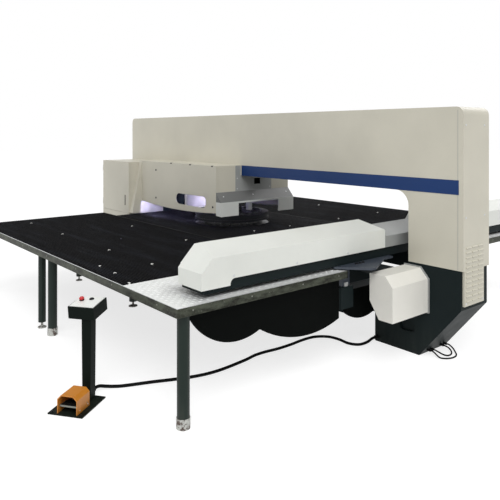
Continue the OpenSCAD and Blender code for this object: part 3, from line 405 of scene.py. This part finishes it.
MATS = {
    "cover": paint("cover_paint", OFF_WHITE),
    "rail": paint("rail_paint", RAIL_WHITE, rough=0.36),
    "base": paint("base_paint", BASE_GREY, rough=0.45, dust=0.16, dusty=(0.0, 0.4), shine=0.06),
    "band": paint("band_paint", BAND_BLUE, rough=0.45, shine=0.3),
    "panel": paint("panel_paint", PANEL_GREY),
    # The throat panel's opening is painted black as shade.
    "throat": paint("throat_paint_and_shade", PANEL_GREY, recess_shade=THROAT_RECESS_SHADE),
    "leg": paint("leg_paint", LEG_GREEN, rough=0.34, dust=0.4, dusty=(0.0, 0.25), shine=0.22),
    "guard": paint("guard_paint", srgb("d2862c"), rough=0.38, dust=0.5, dusty=(0.0, 0.14)),
    "edge": edge_metal("edge_steel"),
    "bright": steel("bright_steel", srgb("d6d8d9"), rough=0.38, metal=0.75),
    "dull": steel("dull_steel", srgb("85877f"), rough=0.45, metal=0.8),
    "holder": steel("holder_steel", srgb("55575a"), rough=0.4, grain=(40, 40, 1)),
    "plate": steel("plate_steel", srgb("eef0ec"), rough=0.45, grain=(60, 2, 2), metal=0.2),
    "tread": tread_metal("tread_steel"),
    "tool": steel("tool_steel", srgb("3b3c40"), rough=0.38, grain=(40, 40, 1)),
    "rust": steel("rusty_steel", srgb("bfc0bb"), rough=0.5, grain=(6, 6, 40), metal=0.5,
                  spots=srgb("3a2012")),
    "brush": bristles("brush_black"),
    "black": plastic("black_plastic", srgb("101113"), rough=0.55, shine=0.15),
    "rubber": plastic("black_rubber", srgb("0b0c0c"), rough=0.7, grain=300.0, shine=0.1),
    "red": plastic("red_plastic", srgb("c0141c"), rough=0.25),
    "lamp": glow("lamp_lens", srgb("aaa6ff"), strength=20.0),
    "strong_lamp": glow("side_lamp_lens", srgb("cbc9ff"), strength=175.0),
    "nylon": plastic("white_nylon", srgb("eeeeea"), rough=0.35),
    "drive": paint("drive_paint", srgb("ebe9e1"), rough=0.4),
    "saddle": paint("saddle_paint", srgb("3a404a"), rough=0.4, shine=0.4),
    # The hood's sloped face above its fold is painted dark grey as shade.
    "hood": paint("hood_paint_and_shade", srgb("d6d8d4"), shade_above=(HOOD_FOLD, srgb("6d6e6d"))),
    "apron": plastic("apron_rubber", srgb("040605"), rough=0.6, grain=60.0, shine=0.04),
    "post": paint("pedestal_paint", srgb("0d1511"), rough=0.45, dust=0.15, dusty=(0.0, 0.2), shine=0.06),
}

NODE_LOOKS = {
    "cover": ["near_side_cover", "far_side_cover", "top_cover", "left_end_cover", "louvred_end_cover",
              "near_turret_housing", "near_front_panel", "far_turret_housing", "access_cabinet",
              "access_door"],
    "drive": ["drive_cover"],
    "rail": ["near_rail_cover", "far_rail_cover"],
    "base": ["frame", "guide_beds", "rail_beam", "carriage", "ram_guide"],
    "saddle": ["saddles"],
    "band": ["trim_bands"],
    "hood": ["turret_hood"],
    "throat": ["throat_panel"],
    "panel": ["centre_rail_cover", "drive_flange"],
    "leg": ["table_legs"],
    "post": ["pedestal", "console"],
    "guard": ["pedal_guard"],
    "edge": ["near_table_frame", "far_table_frame"],
    "bright": ["door_hinges", "upper_bearing", "lower_bearing", "ram",
               "guide_rails", "clamp_bodies"],
    "plate": ["control_plate"],
    "dull": ["pedal"],
    "tread": ["tread_plates"],
    "holder": ["punch_holders", "die_holders"],
    "tool": ["upper_turret", "upper_shaft", "lower_turret", "lower_shaft", "clamp_jaw_near",
             "clamp_jaw_far"],
    "rust": ["leg_feet"],
    "brush": ["near_brush_top", "far_brush_top", "centre_table"],
    "black": ["door_pull", "cable_glands", "start_button"],
    "apron": ["table_apron"],
    "red": ["stop_button"],
}


def dress(obj, key):
    obj.data.materials.clear()
    obj.data.materials.append(MATS[key])


for key, names in NODE_LOOKS.items():
    for name in names:
        dress(NODES[name], key)
for piece in CABLES:
    dress(piece, "rubber")


# Mesh helpers

def box(bm, low, high):
    low, high = Vector(low), Vector(high)
    place = Matrix.Translation((low + high) / 2) @ Matrix.Diagonal((*(high - low), 1))
    return bmesh.ops.create_cube(bm, size=1, matrix=place)["verts"]


def rod(bm, start, end, r_start, r_end=None, sides=20):
    start, end = Vector(start), Vector(end)
    turn = (end - start).to_track_quat("Z", "Y").to_matrix().to_4x4()
    place = Matrix.Translation((start + end) / 2) @ turn
    return bmesh.ops.create_cone(bm, cap_ends=True, segments=sides, radius1=r_start,
                                 radius2=r_start if r_end is None else r_end,
                                 depth=(end - start).length, matrix=place)["verts"]


def ball(bm, at, r, across=14, along=8):
    return bmesh.ops.create_uvsphere(bm, u_segments=across, v_segments=along, radius=r,
                                     matrix=Matrix.Translation(at))["verts"]


def soften(bm, verts, width, segments=2):
    edges = list({e for v in verts for e in v.link_edges})
    bmesh.ops.bevel(bm, geom=edges, offset=width, offset_type="OFFSET", affect="EDGES",
                    segments=segments, profile=0.5, material=-1)


def repeat(bm, step, count):
    """Copies all that is there, to a row of that many, a step apart."""
    first = bm.verts[:] + bm.edges[:] + bm.faces[:]
    for i in range(1, count):
        copy = bmesh.ops.duplicate(bm, geom=first)["geom"]
        moved = [v for v in copy if isinstance(v, bmesh.types.BMVert)]
        bmesh.ops.translate(bm, vec=Vector(step) * i, verts=moved)


def piece_from(name, bm, key, body, smooth=35):
    bmesh.ops.recalc_face_normals(bm, faces=bm.faces[:])
    mesh = bpy.data.meshes.new(name)
    bm.to_mesh(mesh)
    bm.free()
    for face in mesh.polygons:
        face.use_smooth = smooth > 0
    if smooth:
        mesh.set_sharp_from_angle(angle=math.radians(smooth))
    piece = bpy.data.objects.new(name, mesh)
    SCENE.collection.objects.link(piece)
    dress(piece, key)
    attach(piece, body)
    return piece


SINK = 0.001


def screw(bm, at, out, r):
    """A pan-head screw that stands on a surface whose outward direction is given."""
    at, out = Vector(at), Vector(out)
    shoulder = at + out * r * 0.35
    rod(bm, at - out * SINK, shoulder, r, r, 12)
    rod(bm, shoulder, at + out * r * 0.6, r, r * 0.6, 12)


def bolt(bm, at, out, r):
    """A hexagon head on a washer."""
    at, out = Vector(at), Vector(out)
    washer, head = at + out * r * 0.22, at + out * r * 1.0
    rod(bm, at - out * SINK, washer, r * 1.5, r * 1.45, 24)
    rod(bm, washer, head, r, r, 6)
    rod(bm, head, at + out * r * 1.1, r, r * 0.8, 6)


def screws(name, places, out, body, r, make=screw, key="bright"):
    bm = bmesh.new()
    for at in places:
        make(bm, at, out, r)
    piece_from(name, bm, key, body)


# Rounded edges on the sheet and plate work

EDGE_ROUNDS = {
    0.010: ["near_side_cover", "far_side_cover"],
    0.005: ["near_rail_cover", "far_rail_cover", "centre_rail_cover", "drive_cover", "frame",
            "access_door", "console", "pedestal", "guide_beds", "table_apron", "louvred_end_cover"],
    0.002: ["near_turret_housing", "near_front_panel", "far_turret_housing", "turret_hood",
            "throat_panel", "access_cabinet", "near_table_frame", "far_table_frame", "saddles",
            "carriage", "clamp_bodies", "pedal_guard", "pedal", "drive_flange", "control_plate",
            "upper_turret", "lower_turret", "stop_button", "start_button", "door_pull"],
}


ROUND_STEPS = 3
ROUND_FROM = math.radians(40)


def round_edges(obj, width):
    change = obj.modifiers.new("rounded", "BEVEL")
    change.width = width
    change.segments = ROUND_STEPS
    change.limit_method = "ANGLE"
    change.angle_limit = ROUND_FROM
    change.harden_normals = True


for width, names in EDGE_ROUNDS.items():
    for name in names:
        round_edges(NODES[name], width)


# Brush tables: dense tufts over a backing panel, ball units and tread plates

TUFT_PITCH = 0.0245
TUFT_LEN = 0.017
TUFT_RISE = 0.003
TUFT_FOOT_R = 0.0068
TUFT_TIP_R = 0.0092
TUFT_SIDES = 4
TABLE_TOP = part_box("near_table_frame")[1][2]
TABLE_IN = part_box("far_table_frame")[0][1]
HOLE_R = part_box("lower_turret")[1][0] + 0.013
SLOT_FROM_X = 1.0
SLOT_FROM_Y = 0.845
SLOT_CLEAR = 0.01


def brush_field(bm, low, high, top):
    """Tufts in a square grid over a rectangle of the table."""
    across = int((high[0] - low[0]) / TUFT_PITCH)
    along = int((high[1] - low[1]) / TUFT_PITCH)
    first = (low[0] + TUFT_PITCH / 2, low[1] + TUFT_PITCH / 2, top - TUFT_LEN)
    rod(bm, first, (first[0], first[1], top), TUFT_FOOT_R, TUFT_TIP_R, TUFT_SIDES)
    repeat(bm, (TUFT_PITCH, 0, 0), across)
    repeat(bm, (0, TUFT_PITCH, 0), along)
    return first


def side_brush(node, name):
    low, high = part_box(node)
    bm = bmesh.new()
    brush_field(bm, low, high, high[2] + TUFT_RISE)
    box(bm, low, (high[0], high[1], high[2] - TUFT_LEN / 2))
    piece = piece_from(name, bm, "brush", "base", 0)
    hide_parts(node)


def centre_brush(node, name):
    """Tufts that stand out of the centre panel, clear of the turret and of the rail's slots."""
    low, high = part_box(node)
    bm = bmesh.new()
    first = brush_field(bm, (low[0], -TABLE_IN), (high[0], TABLE_IN), high[2] + TUFT_RISE)
    gone = []
    for v in bm.verts:
        x, y = (first[i] + round((v.co[i] - first[i]) / TUFT_PITCH) * TUFT_PITCH for i in (X, Y))
        over_hole = math.hypot(x, y) < HOLE_R + TUFT_PITCH / 2
        over_slot = x > SLOT_FROM_X - SLOT_CLEAR and abs(y) > SLOT_FROM_Y - SLOT_CLEAR
        if over_hole or over_slot:
            gone.append(v)
    bmesh.ops.delete(bm, geom=gone, context="VERTS")
    piece_from(name, bm, "brush", "base", 0)


TREAD_PITCH = 0.034
TREAD_MARGIN = 0.006
BAR_R = 0.0135
BAR_TOP_R = 0.010
BAR_HIGH = 0.0016
BAR_LIFT = 0.0006
BAR_NARROW_SHARE = 0.32
BAR_TURN = 45


def tread(name, y0, y1):
    """Raised bars on a tread plate, in alternate directions."""
    low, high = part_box("tread_plates")
    bm = bmesh.new()
    for row in range(2):
        for k in range(2):
            place = Matrix.Translation((low[0] + TREAD_PITCH * (0.5 + k),
                                        y0 + TREAD_PITCH * (0.5 + row), high[2] + BAR_LIFT))
            turn = Matrix.Rotation(math.radians(BAR_TURN if (k + row) % 2 else -BAR_TURN), 4, "Z")
            narrow = Matrix.Diagonal((1, BAR_NARROW_SHARE, 1, 1))
            bmesh.ops.create_cone(bm, cap_ends=True, segments=8, radius1=BAR_R, radius2=BAR_TOP_R,
                                  depth=BAR_HIGH, matrix=place @ turn @ narrow)
    repeat(bm, (2 * TREAD_PITCH, 0, 0), int((high[0] - low[0]) / (2 * TREAD_PITCH)))
    repeat(bm, (0, 2 * TREAD_PITCH, 0), int((y1 - y0) / (2 * TREAD_PITCH)))
    piece_from(name, bm, "tread", "base")


CUP_R = 0.0135
CUP_TOP_R = 0.0125
CUP_LIP_R = 0.0105
CUP_DEEP = 0.012
CUP_RISE = 0.002
CUP_LIP_RISE = 0.0032
BALL_R = 0.0100
BALL_DROP = 0.004


def ball_units(name, places):
    """White nylon balls in cups that stand level with the tips of the brushes."""
    bm = bmesh.new()
    for x, y in places:
        lip = (x, y, TABLE_TOP + CUP_RISE)
        rod(bm, (x, y, TABLE_TOP - CUP_DEEP), lip, CUP_R, CUP_TOP_R, 24)
        rod(bm, lip, (x, y, TABLE_TOP + CUP_LIP_RISE), CUP_TOP_R, CUP_LIP_R, 24)
        ball(bm, (x, y, TABLE_TOP - BALL_DROP), BALL_R)
    piece_from(name, bm, "nylon", "base")


NEAR_BALLS = [(0.745, -2.148), (1.343, -2.527), (1.663, -2.542), (1.568, -2.131), (0.782, -1.249),
              (2.033, -2.606), (-0.45, -2.15), (-0.45, -1.25), (-1.5, -2.15)]
CENTRE_BALLS = [(-1.185, 0.082), (0.817, 0.295), (0.817, -0.295), (1.45, 0.295), (1.45, -0.295)]

side_brush("near_brush_top", "near_brush")
side_brush("far_brush_top", "far_brush")
centre_brush("centre_table", "centre_brush")
tread("near_tread_bars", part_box("near_table_frame")[0][1] + TREAD_MARGIN, -TABLE_IN - TREAD_MARGIN)
tread("far_tread_bars", TABLE_IN + TREAD_MARGIN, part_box("far_table_frame")[1][1] - TREAD_MARGIN)
ball_units("near_ball_units", NEAR_BALLS)
ball_units("far_ball_units", [(x, -y) for x, y in NEAR_BALLS])
ball_units("centre_ball_units", CENTRE_BALLS)


# Bright lip along the top of each table's edge, and its screws

LIP_WALL = 0.0075
LIP_RISE = 0.0012
LIP_ROUND = 0.0004


def edge_lip(node, name, side):
    """Three strips: the outer edge and the two ends. Side is the way the outer edge faces."""
    low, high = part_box(node)
    outer = low[1] if side < 0 else high[1] - LIP_WALL
    ends = (low[1] + LIP_WALL, high[1] - LIP_WALL)
    bm = bmesh.new()
    for a, b in (((low[0], outer), (high[0], outer + LIP_WALL)),
                 ((low[0], ends[0]), (low[0] + LIP_WALL, ends[1])),
                 ((high[0] - LIP_WALL, ends[0]), (high[0], ends[1]))):
        soften(bm, box(bm, (*a, high[2] - SINK), (*b, high[2] + LIP_RISE)), LIP_ROUND, 1)
    piece_from(name, bm, "bright", "base")


edge_lip("near_table_frame", "near_edge_lip", -1)
edge_lip("far_table_frame", "far_edge_lip", 1)
TABLE_LOW, TABLE_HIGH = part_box("near_table_frame")
EDGE_SCREW_R = 0.006
EDGE_SCREW_Z = TABLE_HIGH[2] - 0.027
SIDE_SCREWS = [-2.56, -2.036, -1.506, -1.08]
FRONT_SCREWS = [-1.6, -0.9, -0.2, 0.5, 1.2, 1.9, 2.6]
for sign, side in ((1, "near"), (-1, "far")):
    screws(f"{side}_edge_screws", [(TABLE_HIGH[0], sign * y, EDGE_SCREW_Z) for y in SIDE_SCREWS],
           (1, 0, 0), "base", EDGE_SCREW_R, key="dull")
    screws(f"{side}_front_screws", [(x, sign * TABLE_LOW[1], EDGE_SCREW_Z) for x in FRONT_SCREWS],
           (0, -sign, 0), "base", EDGE_SCREW_R, key="dull")


# Screws and bolts on the covers

COVER_SCREW_R = 0.009
PANEL_SCREW_R = 0.008
FRONT_SCREW_R = 0.013
FLANGE_SCREW_R = 0.004
GUSSET_BOLT_R = 0.012
BED_BOLT_R = 0.010
RAIL_SCREW_R = 0.007

RAIL_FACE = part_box("near_rail_cover")[1][0]
COVER_SCREWS = [-2.158, -1.514, -0.894]
COVER_SCREW_Z = 0.985
for sign, side in ((1, "near"), (-1, "far")):
    screws(f"{side}_cover_screws", [(RAIL_FACE, sign * y, COVER_SCREW_Z) for y in COVER_SCREWS],
           (1, 0, 0), "cross_rail", COVER_SCREW_R)

HOUSE_LOW, HOUSE_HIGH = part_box("near_front_panel")
FRONT_PLACES = [(-0.966, 1.508), (-0.966, 1.12), (0.39, 1.12)]
screws("front_panel_screws", [(x, HOUSE_LOW[1], z) for x, z in FRONT_PLACES],
       (0, -1, 0), "base", FRONT_SCREW_R, key="tool")

HOOD_OUT = Vector((0.115, 0, 0.105)).normalized()
HOOD_SCREW_X = 0.5005
HOOD_SCREW_Z = 1.2505
screws("hood_screws", [(HOOD_SCREW_X, y, HOOD_SCREW_Z) for y in (-0.52, -0.05, 0.52)],
       HOOD_OUT, "base", PANEL_SCREW_R)

PANEL_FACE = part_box("throat_panel")[1][0]
screws("throat_panel_screws", [(PANEL_FACE, y, z) for y in (-0.27, 0.27) for z in (1.33, 1.46)],
       (1, 0, 0), "base", PANEL_SCREW_R)

CABINET_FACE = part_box("access_cabinet")[0][1]
KICK_SCREW_Z = 0.72
screws("kick_panel_screws", [(x, CABINET_FACE, KICK_SCREW_Z) for x in (-2.22, -1.87, -1.52)],
       (0, -1, 0), "base", PANEL_SCREW_R)

END_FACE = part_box("louvred_end_cover")[1][0] - 0.009
END_PLACES = [(-0.175, 0.56), (0.105, 0.56)]
END_PLACES += [(y, z) for y in (-0.175, 0.135) for z in (1.3, 2.1)]
screws("end_cover_screws", [(END_FACE, y, z) for y, z in END_PLACES],
       (1, 0, 0), "base", COVER_SCREW_R)

LEFT_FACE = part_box("left_end_cover")[0][0]
screws("left_cover_screws", [(LEFT_FACE, y, z) for y in (-0.17, 0.17) for z in (0.9, 1.5, 2.1)],
       (-1, 0, 0), "base", COVER_SCREW_R)

DRIVE_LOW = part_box("drive_flange")[0]
FLANGE_PLACES = [(DRIVE_LOW[0] + 0.005, 0.62), (DRIVE_LOW[0] + 0.007, 0.79)]
screws("drive_flange_bolts", [(x, DRIVE_LOW[1], z) for x, z in FLANGE_PLACES],
       (0, -1, 0), "base", FLANGE_SCREW_R)

SADDLE_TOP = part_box("saddles")[1][2]
GUSSET_X = 2.83
GUSSET_Y = [-0.8175 + k * 0.045 for k in range(3)]
screws("gusset_bolts", [(GUSSET_X, s * y, SADDLE_TOP) for s in (1, -1) for y in GUSSET_Y],
       (0, 0, 1), "cross_rail", GUSSET_BOLT_R, bolt, "tool")

BED_TOP = 0.69
BED_PLACES = [(x, y) for y in (0.85, 0.96) for x in (1.1, 1.5, 1.9, 2.3, 2.74)]
screws("bed_bolts", [(x, s * y, BED_TOP) for s in (-1, 1) for x, y in BED_PLACES],
       (0, 0, 1), "base", BED_BOLT_R, bolt)

RAIL_SCREW_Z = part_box("guide_rails")[1][2] - 0.0045
RAIL_SCREW_Y = 0.905
RAIL_SCREW_X = [1.05 + 0.12 * i for i in range(15)]
screws("guide_rail_screws",
       [(x, s * RAIL_SCREW_Y, RAIL_SCREW_Z) for s in (-1, 1) for x in RAIL_SCREW_X],
       (0, 0, 1), "base", RAIL_SCREW_R, key="tool")


# Dark clips along the housings' top edges

CLIP_X = (-0.571, -0.111, 0.372)
CLIP_HALF = 0.016
CLIP_OUT = 0.0015
CLIP_IN = 0.02
CLIP_DROP = 0.014
CLIP_RISE = 0.0012
TRIM_ROUND = 0.001


def clips(name, y, z):
    bm = bmesh.new()
    for x in CLIP_X:
        soften(bm, box(bm, (x - CLIP_HALF, y - CLIP_OUT, z - CLIP_DROP),
                       (x + CLIP_HALF, y + CLIP_IN, z + CLIP_RISE)), TRIM_ROUND, 1)
    piece_from(name, bm, "black", "base")


clips("housing_clips", HOUSE_LOW[1], HOUSE_HIGH[2])
clips("far_housing_clips", -HOUSE_LOW[1] + CLIP_OUT - CLIP_IN, HOUSE_HIGH[2])


# Lamps inside the turret housings

HOUSE_IN = HOUSE_LOW[1] + 0.006
LAMP_DEEP = 0.03
LAMP_HIGH = 0.022
LAMP_ROUND = 0.004
LENS_INSET = 0.02
LENS_SIDE = 0.004
LENS_DROP = 0.007
LENS_LAP = 0.003
LENS_ROUND = 0.003


def lamp_bar(name, y, z, x0, x1, lens):
    bm = bmesh.new()
    soften(bm, box(bm, (x0, y, z), (x1, y + LAMP_DEEP, z + LAMP_HIGH)), LAMP_ROUND)
    piece_from(name + "_body", bm, "bright", "base")
    bm = bmesh.new()
    soften(bm, box(bm, (x0 + LENS_INSET, y + LENS_SIDE, z - LENS_DROP),
                   (x1 - LENS_INSET, y + LAMP_DEEP - LENS_SIDE, z + LENS_LAP)), LENS_ROUND)
    piece_from(name + "_lens", bm, lens, "base")


lamp_bar("front_lamp", HOUSE_IN, 1.50, -1.38, 0.40, "lamp")
lamp_bar("side_lamp", HOUSE_IN, 1.12, -1.36, -1.02, "strong_lamp")
lamp_bar("rear_lamp", -HOUSE_IN - LAMP_DEEP, 1.12, -1.36, -0.72, "strong_lamp")


# Black cup behind the square opening in the throat panel

SHEET_WALL = 0.004
CUP_BACK = 0.045


def socket_cup(name, face, y, z):
    """A back and four sides. Y and z are its outer limits."""
    back = face - CUP_BACK
    bm = bmesh.new()
    soften(bm, box(bm, (back, y[0], z[0]), (back + SHEET_WALL, y[1], z[1])), TRIM_ROUND, 1)
    for a in y[0], y[1] - SHEET_WALL:
        soften(bm, box(bm, (back, a, z[0]), (face, a + SHEET_WALL, z[1])), TRIM_ROUND, 1)
    for b in z[0], z[1] - SHEET_WALL:
        soften(bm, box(bm, (back, y[0], b), (face, y[1], b + SHEET_WALL)), TRIM_ROUND, 1)
    piece_from(name, bm, "apron", "base")


socket_cup("socket_cup", PANEL_FACE - 0.0065, (0.003, 0.109), (1.3715, 1.4525))


# Folded sheet that closes the left end of the far housing, which shows through the window

SHEET_FOLD = 0.03


def end_sheet(name, low, high):
    """A sheet with a fold along each side, from its lower to its upper Y and Z, at one X."""
    x, y0, z0 = low
    y1, z1 = high
    bm = bmesh.new()
    soften(bm, box(bm, low, (x + SHEET_WALL, y1, z1)), TRIM_ROUND)
    for y in (y0, y1 - SHEET_WALL):
        soften(bm, box(bm, (x + SHEET_WALL * 0.5, y, z0), (x + SHEET_FOLD, y + SHEET_WALL, z1)),
               TRIM_ROUND)
    piece_from(name, bm, "cover", "base")


end_sheet("far_end_sheet", (HOUSE_LOW[0] + 0.001, 0.219, TABLE_TOP + 0.006),
          (-HOUSE_LOW[1] - 0.008, HOUSE_HIGH[2] - 0.01))


# Seams down the right column

SEAM_WIDTH = 0.0035


def seam(name, a, b):
    """A thin grey strip along a straight joint between two covers."""
    half = SEAM_WIDTH / 2
    low = [min(p, q) - half for p, q in zip(a, b)]
    high = [max(p, q) + half for p, q in zip(a, b)]
    bm = bmesh.new()
    soften(bm, box(bm, low, high), SEAM_WIDTH * 0.2, 1)
    piece_from(name, bm, "panel", "base")


SIDE_LOW, SIDE_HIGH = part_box("near_side_cover")
SEAM_X = SIDE_HIGH[0] - 0.052
SEAM_Z = (SIDE_LOW[2] + 0.01, SIDE_HIGH[2] - 0.03)
for side, y in (("near", SIDE_LOW[1]), ("far", -SIDE_LOW[1])):
    seam(f"{side}_column_seam", (SEAM_X, y, SEAM_Z[0]), (SEAM_X, y, SEAM_Z[1]))


# Console and foot switch

TURN = math.radians(36)
TILT = math.radians(8)
PED_AT = Vector((2.010, -3.020, 0))
POST_AT = Vector((0.028, 0.115, 0.630))
GUARD_AT = Vector((0.012, -0.160, 0))
ON_PEDESTAL = Matrix.Translation(PED_AT) @ Matrix.Rotation(TURN, 4, "Z")
ON_CONSOLE = ON_PEDESTAL @ Matrix.Translation(POST_AT) @ Matrix.Rotation(TILT, 4, "X")
ON_GUARD = ON_PEDESTAL @ Matrix.Translation(GUARD_AT)
CONSOLE_TOP = 0.099
STOP_AT = (-0.088, 0.063)
START_AT = (-0.020, 0.094)
COLLAR_R = 0.019
COLLAR_STEPS = 32
CONSOLE_SCREWS = [(-0.122, -0.037), (0.059, -0.037), (0.059, 0.132), (-0.122, 0.030)]
CONSOLE_SCREW_R = 0.004


def placed(name, place, key, body, build):
    """A piece that is drawn in a turned frame and left at the origin."""
    bm = bmesh.new()
    build(bm)
    bmesh.ops.transform(bm, matrix=place, verts=bm.verts[:])
    piece_from(name, bm, key, body)


def collar(bm, at, r_in, high):
    """A flat ring with rounded shoulders on the console's top, spun from a small section."""
    lift = high * 0.35
    top = CONSOLE_TOP + high
    section = [(r_in, CONSOLE_TOP), (COLLAR_R, CONSOLE_TOP), (COLLAR_R, top - lift),
               (COLLAR_R - lift, top), (r_in + lift, top), (r_in, top - lift)]
    verts = [bm.verts.new((at[0] + r, at[1], h)) for r, h in section]
    edges = [bm.edges.new((verts[i - 1], verts[i])) for i in range(len(verts))]
    bmesh.ops.spin(bm, geom=verts + edges, cent=(at[0], at[1], 0), axis=(0, 0, 1),
                   angle=2 * math.pi, steps=COLLAR_STEPS, use_merge=True)


def button_collars(bm):
    collar(bm, STOP_AT, r_in=0.0116, high=0.004)
    collar(bm, START_AT, r_in=0.0136, high=0.005)


def console_screws(bm):
    for x, y in CONSOLE_SCREWS:
        screw(bm, (x, y, CONSOLE_TOP), (0, 0, 1), CONSOLE_SCREW_R)


PAD_RIBS = 9
PAD_HALF = 0.064
PAD_FROM = 0.020
PAD_PITCH = 0.012
PAD_RIB = 0.006
PAD_RISE = 0.0025
PAD_ROUND = 0.0008
TREAD_FRONT = (0.018, 0.066)
TREAD_SLOPE = -0.008 / 0.119


def pedal_pad(bm):
    """Ribbed rubber on the pedal's tread."""
    for i in range(PAD_RIBS):
        y = PAD_FROM + i * PAD_PITCH
        z = TREAD_FRONT[1] + (y - TREAD_FRONT[0]) * TREAD_SLOPE
        soften(bm, box(bm, (-PAD_HALF, y, z - SINK), (PAD_HALF, y + PAD_RIB, z + PAD_RISE)), PAD_ROUND, 1)


GUARD_HALF = 0.080
GUARD_SCREW_Y = (0.04, 0.15)
GUARD_SCREW_Z = 0.030
GUARD_SCREW_R = 0.005


def guard_screws(bm):
    for side in (-1, 1):
        for y in GUARD_SCREW_Y:
            screw(bm, (side * GUARD_HALF, y, GUARD_SCREW_Z), (side, 0, 0), GUARD_SCREW_R)


BASE_BOLT_X = 0.118
BASE_BOLT_Y = 0.148
BASE_TOP = 0.010
BASE_BOLT_R = 0.007


def base_bolts(bm):
    for x in (-BASE_BOLT_X, BASE_BOLT_X):
        for y in (-BASE_BOLT_Y, BASE_BOLT_Y):
            bolt(bm, (x, y, BASE_TOP), (0, 0, 1), BASE_BOLT_R)


placed("button_collars", ON_CONSOLE, "black", "base", button_collars)
placed("console_screws", ON_CONSOLE, "bright", "base", console_screws)
placed("pedal_pad", ON_GUARD, "rubber", "pedal", pedal_pad)
placed("guard_screws", ON_GUARD, "bright", "base", guard_screws)
placed("pedestal_bolts", ON_PEDESTAL, "tool", "base", base_bolts)


# Rings of fixing screws on the turret discs

DISC_RING_R = 0.250
DISC_SCREWS = 12
DISC_SCREW_R = 0.009


def disc_screws(name, node, body):
    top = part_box(node)[1][2]
    bm = bmesh.new()
    for i in range(DISC_SCREWS):
        a = 2 * math.pi * (i + 0.5) / DISC_SCREWS
        screw(bm, (DISC_RING_R * math.cos(a), DISC_RING_R * math.sin(a), top), (0, 0, 1), DISC_SCREW_R)
    piece_from(name, bm, "bright", body)


disc_screws("upper_disc_screws", "upper_turret", "upper_turret")
disc_screws("lower_disc_screws", "lower_turret", "lower_turret")


# Floor and light

FLOOR_HALF = 60
FLOOR_WHITE = (0.9, 0.9, 0.9, 1)
FLOOR_GLOW = 0.55
FLOOR_STRENGTH = 1.36
WORLD_LIGHT = 0.34
WORLD_SEEN = 1.0
SUN_ANGLE = math.radians(50)
WHITE = (1, 1, 1, 1)


def add_floor():
    """A white floor that keeps its shadows and runs into the white background."""
    bm = bmesh.new()
    bmesh.ops.create_grid(bm, x_segments=1, y_segments=1, size=FLOOR_HALF)
    mesh = bpy.data.meshes.new("floor")
    bm.to_mesh(mesh)
    bm.free()
    floor = bpy.data.objects.new("floor", mesh)
    SCENE.collection.objects.link(floor)
    look = Look("floor_white", Base_Color=FLOOR_WHITE, Roughness=0.9, Specular_IOR_Level=0.0)
    lit = Value(look, look.shader.outputs[0])
    glowing = look.node("ShaderNodeEmission", None, {"Color": WHITE, "Strength": FLOOR_STRENGTH})
    mix = look.node("ShaderNodeMixShader", None, {0: look.seen() * FLOOR_GLOW, 1: lit, 2: glowing})
    look.tree.links.new(mix.socket, look.tree.nodes["Material Output"].inputs[0])
    mesh.materials.append(look.material)


def add_world():
    """A white background for what is seen, and a weaker one for the light that it gives."""
    world = bpy.data.worlds.new("studio")
    world.use_nodes = True
    SCENE.world = world
    sky = Shading(world.node_tree)
    back = sky.tree.nodes["Background"]
    back.inputs["Color"].default_value = WHITE
    strength = sky.node("ShaderNodeMapRange", None, {0: sky.seen(), 3: WORLD_LIGHT, 4: WORLD_SEEN})
    sky.tree.links.new(strength.socket, back.inputs["Strength"])


def add_light(name, at, aim, size, power, colour=(1, 1, 1)):
    data = bpy.data.lights.new(name, "AREA")
    data.shape = "DISK"
    data.size = size
    data.energy = power
    data.color = colour
    lamp = bpy.data.objects.new(name, data)
    lamp.location = at
    lamp.rotation_euler = (Vector(aim) - Vector(at)).to_track_quat("-Z", "Y").to_euler()
    SCENE.collection.objects.link(lamp)


def add_sun(name, direction, strength):
    data = bpy.data.lights.new(name, "SUN")
    data.energy = strength
    data.angle = SUN_ANGLE
    lamp = bpy.data.objects.new(name, data)
    lamp.rotation_euler = Vector(direction).to_track_quat("-Z", "Y").to_euler()
    SCENE.collection.objects.link(lamp)


add_floor()
add_world()
add_sun("sky", (-0.55, 0.34, -0.76), strength=1.45)
add_light("key", at=(7.5, -6.0, 7.5), aim=(0.8, -0.5, 0.8), size=5.0, power=200)
add_light("fill", at=(-5.0, -8.0, 5.0), aim=(0.0, -0.5, 0.8), size=6.0, power=130, colour=(0.96, 0.98, 1.0))
add_light("back", at=(2.0, 9.0, 8.0), aim=(0.5, 0.0, 0.8), size=6.0, power=220)


bpy.context.view_layer.update()
